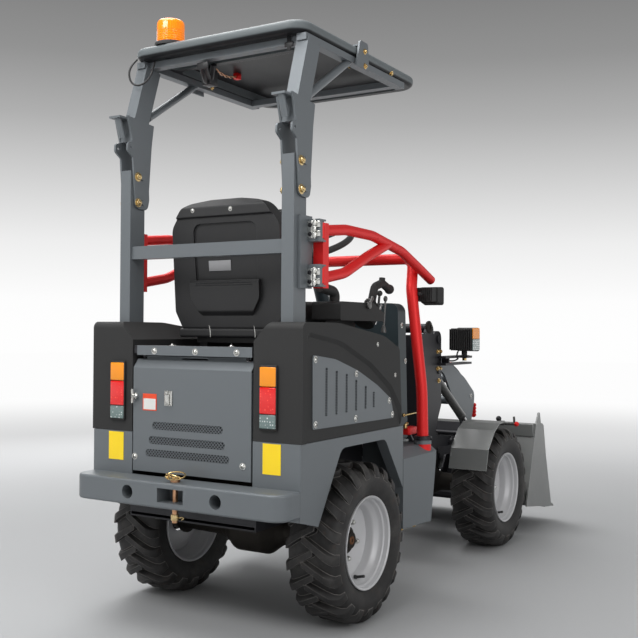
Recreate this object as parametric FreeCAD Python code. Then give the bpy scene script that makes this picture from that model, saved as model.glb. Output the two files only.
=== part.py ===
import FreeCAD, Part
import math
import os

# A compact articulated wheel loader: a rear frame with engine, seat and folding
# roof frame, and a front frame with boom and bucket, hinged together at mid wheelbase.
# Lengths are millimetres. While drawing, x runs forward from the rear axle, y to the
# left and z up from the ground; save() moves each piece to the middle of the length.

V = FreeCAD.Vector

# overall
REAR_END = -540
FRONT_END = 2244
MID_LENGTH = (REAR_END + FRONT_END) / 2

# wheels and axles
WHEEL_RADIUS = 295
TYRE_HALF_WIDTH = 108
BEAD_HALF_WIDTH = 84
SEAT_RADIUS = 152.3
FLANGE_RADIUS = 172
WHEELBASE = 1480
HALF_TRACK = 408
SPINDLE_RADIUS = 30
HUB_RADIUS = 62
RUNNING_GAP = 0.05

# rear body
BODY_REAR = -430
BODY_FRONT = 350
BODY_HALF = 468
BODY_TOP = 697
TUB_HALF = 286
TUB_BOTTOM = 384
SHEET = 6
DECK_TOP = 1006
COVER_TOP = 1108
COVER_HALF = 475
COVER_INNER = 275
RIDGE_WIDTH = 16
DOOR_HALF = 268
DOOR_BOTTOM = 555
DOOR_HINGE = (-400, 978)

# hitch bumper
BUMPER_LOW = 450
BUMPER_TOP = 541
BUMPER_HOLE_RADIUS = 25
BUMPER_HOLE_Y = 197

# roof frame
POST_X = (-370, -290)
POST_Y = (347, 397)
POST_TOP = 1690
FOLD_PIVOT = (-315, 1570)
ROOF_UNDER = 2130
ROOF_X = (-325, 642)
ROOF_HALF = 398

# guards
COLLAR_RADIUS = 34

# frame hinge
HINGE_X = 740
HINGE_PIN_RADIUS = 20

# front linkage
TOWER_INNER = 275
TOWER_OUTER = 287
TOWER_BOTTOM = 452
BEAM_HALF = 107
BOOM_PIVOT = (1105, 1040)
BOOM_OUTER = 220
BOOM_INNER = 208
LIFT_BASE = (1112, 885)
LIFT_EYE = (1650, 543)
LIFT_Y = 248
TILT_TUBE = (1000, 1092)
LIFT_RADIUS = 22
TILT_RADIUS = 20
ROD_SHARE = 0.6
TILT_BASE = (1100, 1122)
TILT_EYE = (1768, 290)
BUCKET_PIVOT = (1760, 180)
BUCKET_HALF = 508
BUCKET_PIN_RADIUS = 15

# steering cylinder
STEER_BASE = (430, -240, 410)
STEER_EYE = (1070, -235, 410)

PLANES = {
    "XY": (lambda a, b: V(a, b, 0), V(0, 0, 1)),
    "XZ": (lambda a, b: V(a, 0, b), V(0, 1, 0)),
    "YZ": (lambda a, b: V(0, a, b), V(1, 0, 0)),
}
ACROSS = V(0, 1, 0)
ALONG = V(1, 0, 0)
UP = V(0, 0, 1)


def rounded_path(points, radii, closed):
    """A wire through the points, with a tangent arc at each corner that has a radius."""
    count = len(points)
    ends = []
    for index, corner in enumerate(points):
        radius = radii[index]
        if radius == 0 or (not closed and index in (0, count - 1)):
            ends.append((corner, corner, corner))
            continue
        back = (points[index - 1] - corner).normalize()
        on = (points[(index + 1) % count] - corner).normalize()
        half_angle = back.getAngle(on) / 2
        middle = (back + on).normalize()
        reach = radius / math.tan(half_angle)
        crown = radius / math.sin(half_angle) - radius
        ends.append((corner + back * reach, corner + middle * crown, corner + on * reach))
    edges = []
    for index, (start, top, finish) in enumerate(ends):
        if start.distanceToPoint(finish) > 1e-6:
            edges.append(Part.Arc(start, top, finish).toShape())
        if index == count - 1 and not closed:
            break
        following = ends[(index + 1) % count][0]
        if finish.distanceToPoint(following) > 1e-6:
            edges.append(Part.LineSegment(finish, following).toShape())
    return Part.Wire(edges)


def face(corners, plane):
    """A flat face with corners (a, b) or (a, b, radius) in one of the three planes."""
    place = PLANES[plane][0]
    points = [place(*corner[:2]) for corner in corners]
    radii = [corner[2] if len(corner) > 2 else 0 for corner in corners]
    return Part.Face(rounded_path(points, radii, True))


def prism(corners, plane, low, high):
    """The face extruded square to its plane, from low to high."""
    normal = PLANES[plane][1]
    solid = face(corners, plane).extrude(normal * (high - low))
    solid.translate(normal * low)
    return solid


def tapered(first, second, plane, low, high):
    """A solid between two like outlines that lie in parallel planes at low and high."""
    normal = PLANES[plane][1]
    wires = []
    for corners, place in ((first, low), (second, high)):
        wire = face(corners, plane).OuterWire
        wire.translate(normal * place)
        wires.append(wire)
    return Part.makeLoft(wires, True, True)


def turned_along(start, line, profile):
    """The (height, radius) profile turned about a line from its start."""
    solid = face(profile, "YZ").revolve(V(0, 0, 0), ACROSS, 360)
    solid.Placement = FreeCAD.Placement(start, FreeCAD.Rotation(ACROSS, line))
    return solid


def row(shape, step, count):
    """Copies of a shape set out in a row, each a step from the last."""
    copies = []
    for index in range(count):
        twin = shape.copy()
        twin.translate(step * index)
        copies.append(twin)
    return copies


def box(x, y, z):
    """A block between the pairs of limits."""
    return Part.makeBox(x[1] - x[0], y[1] - y[0], z[1] - z[0], V(x[0], y[0], z[0]))


def rod(start, finish, radius):
    """A round bar between two points."""
    line = finish - start
    return Part.makeCylinder(radius, line.Length, start, line)


def bar_across(spot, radius, low, high):
    """A round bar along y through the (x, z) spot."""
    return rod(V(spot[0], low, spot[1]), V(spot[0], high, spot[1]), radius)


def tube(points, radius, bend):
    """A round tube along straight runs joined by bends."""
    path = rounded_path(points, [bend] * len(points), False)
    ring = Part.Wire(Part.makeCircle(radius, points[0], points[1] - points[0]))
    return path.makePipeShell([ring], True, False)


def bar(points, width, height, sideways):
    """A rectangular bar along one straight run; width is along the sideways vector."""
    start, finish = points
    line = (finish - start).normalize()
    other = line.cross(sideways).normalize()
    signs = ((-1, -1), (1, -1), (1, 1), (-1, 1))
    ring = [start + sideways * (width / 2 * a) + other * (height / 2 * b) for a, b in signs]
    return Part.Face(Part.makePolygon(ring + ring[:1])).extrude(finish - start)


def lathe(corners, centre):
    """The (y, radius) profile turned about the line along y through the (x, z) centre."""
    solid = face(corners, "YZ").revolve(V(0, 0, 0), ACROSS, 360)
    solid.translate(V(centre[0], 0, centre[1]))
    return solid


def fused(first, *others):
    """One solid from pieces that meet."""
    return first.fuse(list(others)).removeSplitter()


def less(shape, *tools):
    """The shape with the tools cut away."""
    return shape.cut(list(tools))


def mirrored(shape):
    """The same piece on the other side of the machine."""
    return shape.mirror(V(0, 0, 0), ACROSS)


def pair(shape):
    """A piece and its mirror image as one node."""
    return Part.makeCompound([shape, mirrored(shape)])


def softened(shape, radius, picks):
    """Fillets on the edges that the test picks."""
    return shape.makeFillet(radius, [edge for edge in shape.Edges if picks(edge)])


# ---------------------------------------------------------------- wheels and axles

def tyre(centre, side):
    """A low tyre with rounded shoulders, open in the middle for its rim."""
    half = [(68, WHEEL_RADIUS, 40), (98, 278, 26), (TYRE_HALF_WIDTH, 232, 50), (88, 178, 12),
            (BEAD_HALF_WIDTH, SEAT_RADIUS + 0.4)]
    outline = half + [(-y, r, *rest) for y, r, *rest in reversed(half)]
    solid = lathe(outline, centre)
    solid.translate(ACROSS * (side * HALF_TRACK))
    return solid


def rim(centre, side):
    """A pressed rim with a dropped centre and a dished disc round the hub."""
    barrel = [(94, FLANGE_RADIUS), (94, 160, 6), (86.5, 148, 6), (62, 146), (44, 126, 8), (-30, 126, 8),
              (-52, 146), (-86.5, 148, 6), (-94, 160, 6), (-94, FLANGE_RADIUS), (-88, FLANGE_RADIUS, 2),
              (-86.4, SEAT_RADIUS, 3), (-58, SEAT_RADIUS), (-36, 131, 8), (40, 131, 8), (58, SEAT_RADIUS),
              (86.4, SEAT_RADIUS, 3), (88, FLANGE_RADIUS, 2)]
    disc = [(14, 128), (14, 112, 8), (4, 96, 8), (4, 40), (-4, 40), (-4, 98, 8), (6, 116, 8), (6, 128)]
    hub = [(-46, HUB_RADIUS), (8, HUB_RADIUS, 4), (8, 48, 2), (30, 46, 6), (30, 0), (22, 0),
           (22, SPINDLE_RADIUS + RUNNING_GAP), (-46, SPINDLE_RADIUS + RUNNING_GAP)]
    solid = fused(lathe(barrel, (0, 0)), lathe(disc, (0, 0)), lathe(hub, (0, 0)))
    if side < 0:
        solid = mirrored(solid)
    solid.translate(V(centre[0], side * HALF_TRACK, centre[1]))
    return solid


def axle(centre, pad_top):
    """Differential housing, tapered tubes and spindles, with pads up to the frame."""
    half = [(0, 95), (70, 95, 30), (118, 60, 20), (150, 46), (HALF_TRACK - 60, 40),
            (HALF_TRACK - 60, 58), (HALF_TRACK - 48, 58), (HALF_TRACK - 48, SPINDLE_RADIUS),
            (HALF_TRACK + 20, SPINDLE_RADIUS), (HALF_TRACK + 20, 0), (0, 0)]
    body = lathe(half, centre)
    body = fused(body, mirrored(body))
    nose = Part.makeCone(70, 36, 130, V(centre[0] + 40, 0, centre[1]), ALONG)
    pads = [box((centre[0] - 35, centre[0] + 35), (s * 85 - 22, s * 85 + 22), (centre[1] + 30, pad_top))
            for s in (-1, 1)]
    return fused(body, nose, *pads)


REAR_AXLE = (0, WHEEL_RADIUS)
FRONT_AXLE = (WHEELBASE, WHEEL_RADIUS)
REAR_PAD_TOP = 400
FRONT_PAD_TOP = 400


# ---------------------------------------------------------------- rear frame

def rear_chassis():
    """The engine tub with its deck, main beams, nose and frame hinge ears."""
    walls = [box((BODY_REAR + SHEET, 338), (s * 283 - 3, s * 283 + 3), (TUB_BOTTOM, BODY_TOP)) for s in (-1, 1)]
    pan = box((BODY_REAR + SHEET, 338), (-TUB_HALF, TUB_HALF), (TUB_BOTTOM, TUB_BOTTOM + SHEET))
    drain = box((-200, -60), (-90, 90), (TUB_BOTTOM - 1, TUB_BOTTOM + SHEET + 1))
    axle_gap = box((-105, 180), (-120, 120), (TUB_BOTTOM - 1, TUB_BOTTOM + SHEET + 1))
    pan = less(pan, drain, axle_gap)
    beams = [box((BODY_REAR + SHEET, 660), (s * 85 - 22, s * 85 + 22), (REAR_PAD_TOP, 480)) for s in (-1, 1)]
    ties = [box((-424, -380), (-280, 280), (400, 450)), box((300, 338), (-280, 280), (390, 480))]
    bulkhead = box((332, 338), (-COVER_INNER + 1, COVER_INNER - 1), (TUB_BOTTOM, DECK_TOP))
    deck = box((-425, 338), (-COVER_INNER + 1, COVER_INNER - 1), (DECK_TOP - SHEET, DECK_TOP))
    strip = prism([(-428, 990), (-428, 1020, 4), (-395, 1020), (-395, 1000), (-422, 1000), (-422, 990)],
                  "XZ", -DOOR_HALF, DOOR_HALF)
    nose = less(box((338, 660), (-BEAM_HALF, BEAM_HALF), (380, 500)),
                box((348, 650), (-BEAM_HALF + 10, BEAM_HALF - 10), (340, 490)))
    ears = [prism([(640, -100), (640, 100), (HINGE_X + 55, 55, 50), (HINGE_X + 55, -55, 50)], "XY", low, low + 22)
            for low in (345, 473)]
    ear_web = box((640, 662), (-100, 100), (345, 495))
    bore = rod(V(HINGE_X, 0, 300), V(HINGE_X, 0, 540), HINGE_PIN_RADIUS + RUNNING_GAP)
    x, y, z = STEER_BASE
    steer_ears = [prism([(x - 24, -100), (x + 24, -100), (x + 22, y - 22, 20), (x - 22, y - 22, 20)], "XY",
                        low, low + 8) for low in (z - 24, z + 16)]
    steer_pin = rod(V(x, y, z - 26), V(x, y, z + 26), 10)
    hinge_eyes = [less(prism([(-410, 1001), (-410, 976), (-404, 970, 5), (-396, 970, 5), (-390, 976), (-390, 1001)],
                             "XZ", s * 235 - 5, s * 235 + 5),
                       bar_across(DOOR_HINGE, 4 + RUNNING_GAP, -300, 300)) for s in (-1, 1)]
    solid = fused(walls[0], walls[1], pan, *beams, *ties, bulkhead, deck, strip, nose, *ears, ear_web,
                  *steer_ears, steer_pin, *hinge_eyes)
    return less(solid, bore)


def level_rear_edge(edge):
    """True for the level edges round the bumper's back."""
    return edge.BoundBox.ZLength < 1e-6 and edge.BoundBox.XMin < BODY_REAR - 20


def rear_bumper():
    """A thick hitch bumper with a drawbar pocket and two round holes."""
    plate = prism([(BODY_REAR - 1, -BODY_HALF), (BODY_REAR - 1, BODY_HALF), (REAR_END, BODY_HALF, 60),
                   (REAR_END, -BODY_HALF, 60)], "XY", BUMPER_LOW, BUMPER_TOP)
    plate = softened(plate, 9, level_rear_edge)
    pocket = box((REAR_END - 1, REAR_END + 72), (-58, 58), (472, 522))
    pin_hole = rod(V(REAR_END + 42, 10, 400), V(REAR_END + 42, 10, 600), 10.5)
    holes = [rod(V(REAR_END - 1, s * BUMPER_HOLE_Y, 496), V(BODY_REAR, s * BUMPER_HOLE_Y, 496), BUMPER_HOLE_RADIUS)
             for s in (-1, 1)]
    return less(plate, pocket, pin_hole, *holes)


def hitch_pin():
    """The loose drawbar pin with its head."""
    x, y = REAR_END + 42, 10
    pin = rod(V(x, y, 398), V(x, y, 556), 10)
    head = rod(V(x, y, BUMPER_TOP + 0.5), V(x, y, BUMPER_TOP + 9), 17)
    return fused(pin, head)


def rear_fender():
    """The right rear quarter: rear panel, side skin with the wheel arch, front wall and top."""
    skin = [(BODY_REAR, BODY_TOP), (BODY_FRONT, BODY_TOP), (BODY_FRONT, 440), (-300, 400), (-330, 410),
            (BODY_REAR, 436)]
    outer = prism(skin, "XZ", -BODY_HALF, -(TUB_HALF + 0.5))
    inside = box((BODY_REAR + SHEET, BODY_FRONT - SHEET), (-BODY_HALF + SHEET, -200), (300, BODY_TOP - SHEET))
    arch = [(-314, 400 - 20), (-314, 400), (-150, 658, 45), (192, 658, 45), (356, 440), (356, 380)]
    hole = prism(arch, "XZ", -BODY_HALF - 5, -200)
    band_face = face(arch, "XZ")
    wide = band_face.makeOffset2D(5)
    lip = wide.extrude(ACROSS * 44)
    lip.translate(V(0, -BODY_HALF, 0))
    lip = lip.common(outer)
    shell = less(outer, inside)
    rear_panel = box((BODY_REAR, BODY_REAR + SHEET), (-(TUB_HALF + 0.5), -DOOR_HALF - 6), (436, BODY_TOP))
    return fused(shell, lip, rear_panel).cut(hole)


def cover_outline(drop):
    """Side view of a black side cover; drop lowers its curved top."""
    return [(BODY_REAR, BODY_TOP + 1), (BODY_REAR, COVER_TOP - drop, 25), (-188, COVER_TOP - 1 - drop, 300),
            (168, 1060 - drop, 300), (301, 1010 - drop, 25), (326, BODY_TOP + 1)]


def ridge_outline(inset):
    """The arched recess on a cover's side; inset draws its edge in."""
    return [(-405 + inset, BODY_TOP - 5), (-405 + inset, 1076 - inset, 20), (-171, 1044 - inset, 400),
            (60, 960 - inset, 400), (232 - inset / 2, 866 - inset, 100), (320 - inset, 776 - inset),
            (330, BODY_TOP - 5)]


def side_cover():
    """The right black cover: curved top, stepped side under its arched ridge, open underneath."""
    body = prism(cover_outline(0), "XZ", -COVER_HALF, -COVER_INNER)
    chamfer = prism([(-COVER_INNER - 62, COVER_TOP + 1), (-COVER_INNER + 1, COVER_TOP + 1),
                     (-COVER_INNER + 1, 1040)], "YZ", -600, 600)
    inner = prism([(BODY_REAR + 5, BODY_TOP), (BODY_REAR + 5, COVER_TOP - 6, 22), (-188, COVER_TOP - 7, 298),
                   (168, 1054, 298), (297, 1005, 22), (321, BODY_TOP)], "XZ", -COVER_HALF + 18, -COVER_INNER - 5)
    inner_cut = prism([(-COVER_INNER - 70, COVER_TOP + 1), (-COVER_INNER - 5, 1034), (-COVER_INNER - 5, 1200),
                       (-COVER_INNER - 70, 1200)], "YZ", -600, 600)
    inner = less(inner, inner_cut)
    recess = tapered(ridge_outline(0), ridge_outline(RIDGE_WIDTH), "XZ", -COVER_HALF - 0.5, -COVER_HALF + 10)
    post_hole = box((POST_X[0] - 2, POST_X[1] + 2), (-POST_Y[1] - 2, -POST_Y[0] + 2), (1050, 1200))
    return less(body, chamfer, inner, recess, post_hole)


def vent_panel():
    """The grey louvred panel bolted on a side cover."""
    outline = [(-354, 741, 8), (-357, 996, 10), (-200, 978, 300), (-33, 932, 500), (120, 872, 300), (236, 813, 8),
               (267, 736, 8)]
    y = -COVER_HALF + 10
    plate = prism(outline, "XZ", y - 4, y)
    slots = []
    for x, low, high in ((-264, 782, 949), (-193, 782, 936), (-120, 784, 923), (-48, 786, 898), (26, 788, 872),
                         (91, 789, 847)):
        slots.append(box((x - 7, x + 7), (y - 5, y + 1), (low, high)))
    return less(plate, *slots)


def engine_door():
    """The rear engine door: bent top, folded edges, three rows of air slots and a hinge bar."""
    skin = [(-407, 970), (-432, 937, 6), (-432, DOOR_BOTTOM), (-428, DOOR_BOTTOM), (-428, 938, 4), (-404, 968)]
    plate = prism(skin, "XZ", -DOOR_HALF, DOOR_HALF)
    edges = [box((-428, -412), (s * 266 - 2, s * 266 + 2), (DOOR_BOTTOM, 930)) for s in (-1, 1)]
    foot = box((-428, -412), (-DOOR_HALF, DOOR_HALF), (DOOR_BOTTOM, DOOR_BOTTOM + 4))
    pin = bar_across(DOOR_HINGE, 4, -245, 245)
    arm_line = [(-408, 968), (-402, 982, 4), (-396, 978), (-403, 964)]
    arms = [prism(arm_line, "XZ", low, high) for low, high in ((-225, -60), (60, 225))]
    slots = []
    for low, high, z in ((-147, 175, 726), (-156, 192, 672), (-176, 206, 624)):
        slots.append(prism([(low, z - 14, 13.9), (high, z - 14, 13.9), (high, z + 14, 13.9), (low, z + 14, 13.9)],
                           "YZ", -440, -420))
    return less(fused(plate, *edges, foot, pin, *arms), *slots)


def engine_block():
    """The engine as one plain block."""
    return box((-300, 150), (-200, 200), (490, 850))


def tail_lights():
    """Upright lamp strips on the rear corners."""
    lamp = prism([(-375, 740, 10), (-308, 740, 10), (-308, 958, 10), (-375, 958, 10)], "YZ", BODY_REAR - 14,
                 BODY_REAR - 0.5)
    return pair(lamp)


# ---------------------------------------------------------------- seat and controls

def seat_back_outline():
    """The backrest seen from behind, with its arched top."""
    return [(-205, 1055), (-252, 1150, 40), (-250, 1470, 60), (-185, 1560, 90), (0, 1585, 600), (185, 1560, 90),
            (250, 1470, 60), (252, 1150, 40), (205, 1055)]


def seat_frame():
    """The moulded seat shell on its slides: arched top band, sunk back panel and document pocket."""
    outline = prism(seat_back_outline(), "YZ", -300, 0)
    side = prism([(-150, 1060), (-205, 1085, 12), (-243, 1530, 14), (-215, 1571, 14), (-186, 1566, 8),
                  (-150, 1180)], "XZ", -260, 260)
    band = prism([(-243, 1506), (-252, 1511, 4), (-254, 1545, 10), (-222, 1577, 12), (-190, 1572, 6),
                  (-190, 1506)], "XZ", -260, 260)
    back = side.fuse(band).common(outline)
    panel = prism([(-300, 1180), (-300, 1486), (-230, 1486), (-204, 1180)], "XZ", -150, 150)
    panel = panel.common(prism([(-142, 1182, 30), (-148, 1484, 34), (148, 1484, 34), (142, 1182, 30)], "YZ",
                               -300, 0))
    pocket = prism([(-202, 1268), (-236, 1268, 4), (-240, 1256, 6), (-226, 1150, 14), (-204, 1128)], "XZ", -170, 170)
    pocket = pocket.common(prism([(-162, 1269), (-160, 1200, 40), (-116, 1128, 34), (116, 1128, 34),
                                  (160, 1200, 40), (162, 1269)], "YZ", -300, 0))
    mouth = prism([(-231, 1280), (-231, 1240), (-222, 1240), (-222, 1280)], "XZ", -150, 150)
    grooves = row(box((-250, -235.5), (-132, 132), (1254, 1257)), UP * -9, 2)
    back = less(back, panel).fuse(pocket)
    back = less(back, mouth, *grooves)
    pan = prism([(-205, 1050, 10), (-205, 1085, 10), (290, 1100, 10), (310, 1075, 10), (280, 1050, 10)], "XZ",
                -235, 235)
    upper = box((-165, 235), (-180, 180), (1030, 1050.5))
    slides = [box((-150, 220), (s * 160 - 18, s * 160 + 18), (DECK_TOP + 0.5, 1030.5)) for s in (-1, 1)]
    return fused(back, pan, upper, *slides)


def seat_back_pad():
    """The soft front of the backrest."""
    return prism([(-148, 1190, 20), (-182, 1545, 25), (-120, 1540, 30), (-80, 1200, 30)], "XZ", -225, 225)


def seat_cushion():
    """The soft seat cushion."""
    return prism([(-145, 1106, 8), (-145, 1170, 20), (-76, 1185, 30), (300, 1190, 40), (318, 1110, 20)], "XZ", -230, 230)


def control_box():
    """The right armrest console: joystick in a bellows boot, side lever and arm pad bracket."""
    case = prism([(-20, 1118, 8), (-20, 1190, 14), (250, 1190, 14), (340, 1150, 20), (340, 1118, 8)], "XZ",
                 -385, -258)
    leg = box((60, 300), (-272, -258), (DECK_TOP, 1130))
    foot = V(283, -322, 1110)
    lean = V(68, 0, 96)
    folds = [(0, 0), (0, 42)]
    for index in range(6):
        wide = 44 - 3.2 * index
        low = 6 + 17 * index
        folds += [(low, wide - 7), (low + 8, wide), (low + 10, wide), (low + 17, wide - 8)]
    boot = turned_along(foot, lean, folds + [(122, 17), (122, 0)])
    stick = tube([V(350, -322, 1205), V(374, -322, 1262), V(440, -322, 1280), V(512, -322, 1255)], 17, 30)
    tip = Part.makeSphere(21, V(508, -322, 1257))
    button = rod(V(440, -322, 1285), V(443, -322, 1302), 13)
    lever = rod(V(300, -372, 1120), V(322, -372, 1228), 5)
    knob = Part.makeSphere(12, V(323, -372, 1232))
    arm = tube([V(40, -322, 1180), V(46, -322, 1228), V(-70, -322, 1243)], 20, 26)
    return fused(case, leg, boot, stick, tip, button, lever, knob, arm)


def dash():
    """The tall front console with the steering column."""
    panel = prism([(-345, 609, 10), (-330, 1200, 40), (330, 1200, 40), (345, 609, 10)], "YZ", 575, 650)
    hollow = prism([(-338, 609), (-323, 1192, 36), (323, 1192, 36), (338, 609)], "YZ", 583, 651)
    shell = less(panel, hollow)
    column = rod(V(560, 0, 1080), V(397, 0, 1428), 30)
    tower_box = prism([(480, 1000, 20), (500, 1160, 20), (576, 1190), (576, 960)], "XZ", -110, 110)
    return fused(shell, tower_box, column)


STEERING_CENTRE = V(383, 0, 1457)
STEERING_LINE = V(-163, 0, 348)


def steering_wheel():
    """A three-spoke steering wheel on the column's axis."""
    line = V(STEERING_LINE).normalize()
    ring = Part.makeTorus(183, 14, V(0, 0, 0), UP)
    hub = Part.makeCylinder(36, 28, V(0, 0, -24), UP)
    spokes = []
    for turn in (90, 210, 330):
        spoke = box((20, 176), (-13, 13), (-6, 2))
        spoke.rotate(V(0, 0, 0), UP, turn)
        spokes.append(spoke)
    wheel = fused(ring, hub, *spokes)
    wheel.Placement = FreeCAD.Placement(STEERING_CENTRE, FreeCAD.Rotation(UP, line))
    return wheel


# ---------------------------------------------------------------- platform and guards

def step_box():
    """The right side step tank with a sloped tread top and a leaning front."""
    body = prism([(352, -345), (352, -469), (616, -501, 10), (616, -345)], "XY", 280, 600)
    slope = tapered([(-520, 524), (-412, 602), (-412, 660), (-520, 660)],
                    [(-520, 558), (-457, 602), (-457, 660), (-520, 660)], "YZ", 350, 620)
    lean = prism([(616, 602), (612, 575), (568, 279), (660, 279), (660, 602)], "XZ", -600, -300)
    foot = rod(V(573.2, -454.2, 567), V(575.3, -451.1, 652), COLLAR_RADIUS + 0.3)
    return less(body, slope, lean, foot)


def floor_plate():
    """The foot floor between the steps."""
    return box((352, 660), (-344, 344), (596, 606))


def hoop_points():
    """Centre line of the front guard hoop, foot to foot."""
    right = [V(574, -453, 600), V(580, -444, 830), V(602, -382, 1262), V(658, -363, 1396)]
    left = [V(p.x, -p.y, p.z) for p in reversed(right)]
    return right + left


def front_hoop():
    """The front guard hoop over the dash, with collars at its feet."""
    path = rounded_path(hoop_points(), [0, 900, 120, 50, 50, 120, 900, 0], False)
    first, second = hoop_points()[:2]
    ring = Part.Wire(Part.makeCircle(24, first, second - first))
    hoop = path.makePipeShell([ring], True, False)
    collar = rod(V(573.3, -454, 572), V(574.8, -451.8, 632), COLLAR_RADIUS)
    return fused(hoop, collar, mirrored(collar))


def gate(side):
    """A side gate of two bent tubes on a hinged upright."""
    y = side * 422
    top = [V(-232, y, 1433), V(-53, y, 1453), V(160, y, 1450), V(420, y, 1408), V(607, y, 1343), V(716, y, 1303)]
    low = [V(-232, y, 1263), V(-60, y, 1292), V(120, y, 1366), V(300, y, 1430)]
    rails = fused(tube(top, 20, 260), tube(low, 20, 260))
    upright_bar = box((-248, -208), (y - 20, y + 20), (1229, 1460))
    leaves = [less(fused(rod(V(-262, side * 446, z), V(-262, side * 446, z + 54), 11),
                         box((-262, -240), (min(side * 438, side * 446), max(side * 438, side * 446)), (z, z + 54))),
                   rod(V(-262, side * 446, z - 1), V(-262, side * 446, z + 60), 6 + RUNNING_GAP))
              for z in (1244, 1402)]
    return fused(rails, upright_bar, *leaves)


def rops_lower():
    """The fixed half of the roof frame: two posts, a crossbar and the gate hinge pins."""
    posts = []
    for s in (-1, 1):
        y = (min(s * POST_Y[0], s * POST_Y[1]), max(s * POST_Y[0], s * POST_Y[1]))
        posts.append(box(POST_X, y, (BODY_TOP + 1, POST_TOP)))
        posts.append(box((POST_X[0] - 20, POST_X[1] + 20), (y[0] - 20, y[1] + 20), (BODY_TOP + 1, BODY_TOP + 12)))
        plate_y = (min(s * 397, s * 409), max(s * 397, s * 409))
        posts.append(box((-345, -268), plate_y, (1226, 1480)))
        for z in (1244, 1402):
            pin = rod(V(-262, s * 446, z - 12), V(-262, s * 446, z + 66), 6)
            caps = [box((-296, -252), (min(s * 409, s * 456), max(s * 409, s * 456)), (low, low + 6))
                    for low in (z - 12, z + 60)]
            stays = [box((-296, -276), (min(s * 409, s * 456), max(s * 409, s * 456)), (z - 12, z + 66))]
            posts += [pin, *caps, *stays]
    cross = box((POST_X[0] + 10, POST_X[0] + 50), (-POST_Y[0] - 1, POST_Y[0] + 1), (1348, 1397))
    holes = [bar_across(FOLD_PIVOT, 10 + RUNNING_GAP, -500, 500)]
    return less(fused(cross, *posts), *holes)


def fold_bracket():
    """The right fold bracket: two side plates on a pivot, an open collar and a latch."""
    outline = [(-350, 1545, 24), (-368, 1740), (-400, 1762, 14), (-398, 1792, 12), (-372, 1800),
               (-400, 1895), (-250, 1880), (-262, 1800), (-276, 1620), (-274, 1585), (-284, 1542, 24)]
    plates = [prism(outline, "XZ", low, low + 8) for low in (-POST_Y[1] - 10, -POST_Y[0] + 2)]
    ear_hole = bar_across((-382, 1776), 6, -500, -300)
    web = box((-372, -258), (-POST_Y[1] - 2, -POST_Y[0] + 2), (1800, 1885))
    pivot = bar_across(FOLD_PIVOT, 10, -POST_Y[1] - 18, -POST_Y[0] + 18)
    lock_heads = [bar_across((-318, 1669), 13, low, low + 8) for low in (-POST_Y[1] - 18, -POST_Y[0] + 10)]
    lip = box((-436, -368), (-POST_Y[1] - 2, -POST_Y[0] + 2), (1882, 1890))
    latch = rod(V(-416, -372, 1886), V(-390, -372, 1815), 13)
    return less(fused(plates[0], plates[1], web, lip, pivot, latch, *lock_heads), ear_hole)


def rops_upper():
    """The folding half of the roof frame: brackets, leaning posts, braces and roof rails."""
    side = [fold_bracket()]
    side.append(bar([V(-312, -372, 1880), V(-240, -372, ROOF_UNDER - 20)], 50, 80, ACROSS))
    side.append(tube([V(-246, -372, 1916), V(60, -372, ROOF_UNDER - 12)], 15, 1))
    side.append(box((-290, 500), (-392, -352), (ROOF_UNDER - 25, ROOF_UNDER)))
    side.append(prism([(48, 2092), (150, 2092), (138, 2196, 12), (76, 2196, 12)], "XZ", -ROOF_HALF - 12, -ROOF_HALF - 4))
    side.append(box((60, 140), (-ROOF_HALF - 6, -386), (2108, 2124)))
    side.append(box((80, 134), (-ROOF_HALF - 6, -376), (ROOF_UNDER + 48, ROOF_UNDER + 54)))
    right = fused(*side)
    ties = [box((x, x + 40), (-372, 372), (ROOF_UNDER - 25, ROOF_UNDER)) for x in (-265, 440)]
    return fused(right, mirrored(right), *ties)


def roof():
    """The flat roof with a thick rounded rim and a ribbed underside."""
    plate = prism([(ROOF_X[0], -ROOF_HALF, 70), (ROOF_X[0], ROOF_HALF, 70), (ROOF_X[1], ROOF_HALF, 90),
                   (ROOF_X[1], -ROOF_HALF, 90)], "XY", ROOF_UNDER + 0.5, ROOF_UNDER + 46)
    plate = softened(plate, 20, lambda edge: edge.BoundBox.ZLength < 1e-6)
    pockets = [prism([(low, -340, 40), (low, 340, 40), (high, 340, 40), (high, -340, 40)], "XY", ROOF_UNDER,
                     ROOF_UNDER + 34) for low, high in ((-280, -125), (-98, 598))]
    return less(plate, *pockets)


CABLE_RADIUS = 4
CABLE_ROUTE = [(-306, 378, 2136), (-345, 384, 2098), (-348, 378, 2042), (-336, 352, 2022), (-322, 318, 2034),
               (-304, 300, 2074), (-285, 306, 2122)]


def roof_cable():
    """The lamp cable's loop from the roof's corner past the left post and back under the roof."""
    points = [V(*place) for place in CABLE_ROUTE]
    radii = [0]
    for before, corner, after in zip(points, points[1:], points[2:]):
        turn = (corner - before).getAngle(after - corner)
        run = min(corner.distanceToPoint(before), after.distanceToPoint(corner))
        radii.append(0.45 * run / math.tan(turn / 2))
    print("roof cable bends", [round(radius, 1) for radius in radii[1:]])
    path = rounded_path(points, radii + [0], False)
    ring = Part.Wire(Part.makeCircle(CABLE_RADIUS, points[0], points[1] - points[0]))
    cable = path.makePipeShell([ring], True, False)
    print("roof cable length", round(path.Length, 1), "share of section x length",
          round(cable.Volume / (math.pi * CABLE_RADIUS ** 2 * path.Length), 4))
    return cable


def beacon():
    """The amber beacon on its base."""
    x, y, z = -262, 245, ROOF_UNDER + 46
    base = Part.makeCylinder(62, 22, V(x, y, z), UP)
    dome = softened(Part.makeCylinder(58, 80, V(x, y, z + 22), UP), 14, lambda edge: edge.BoundBox.ZMin > z + 90)
    return fused(base, dome)


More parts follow.
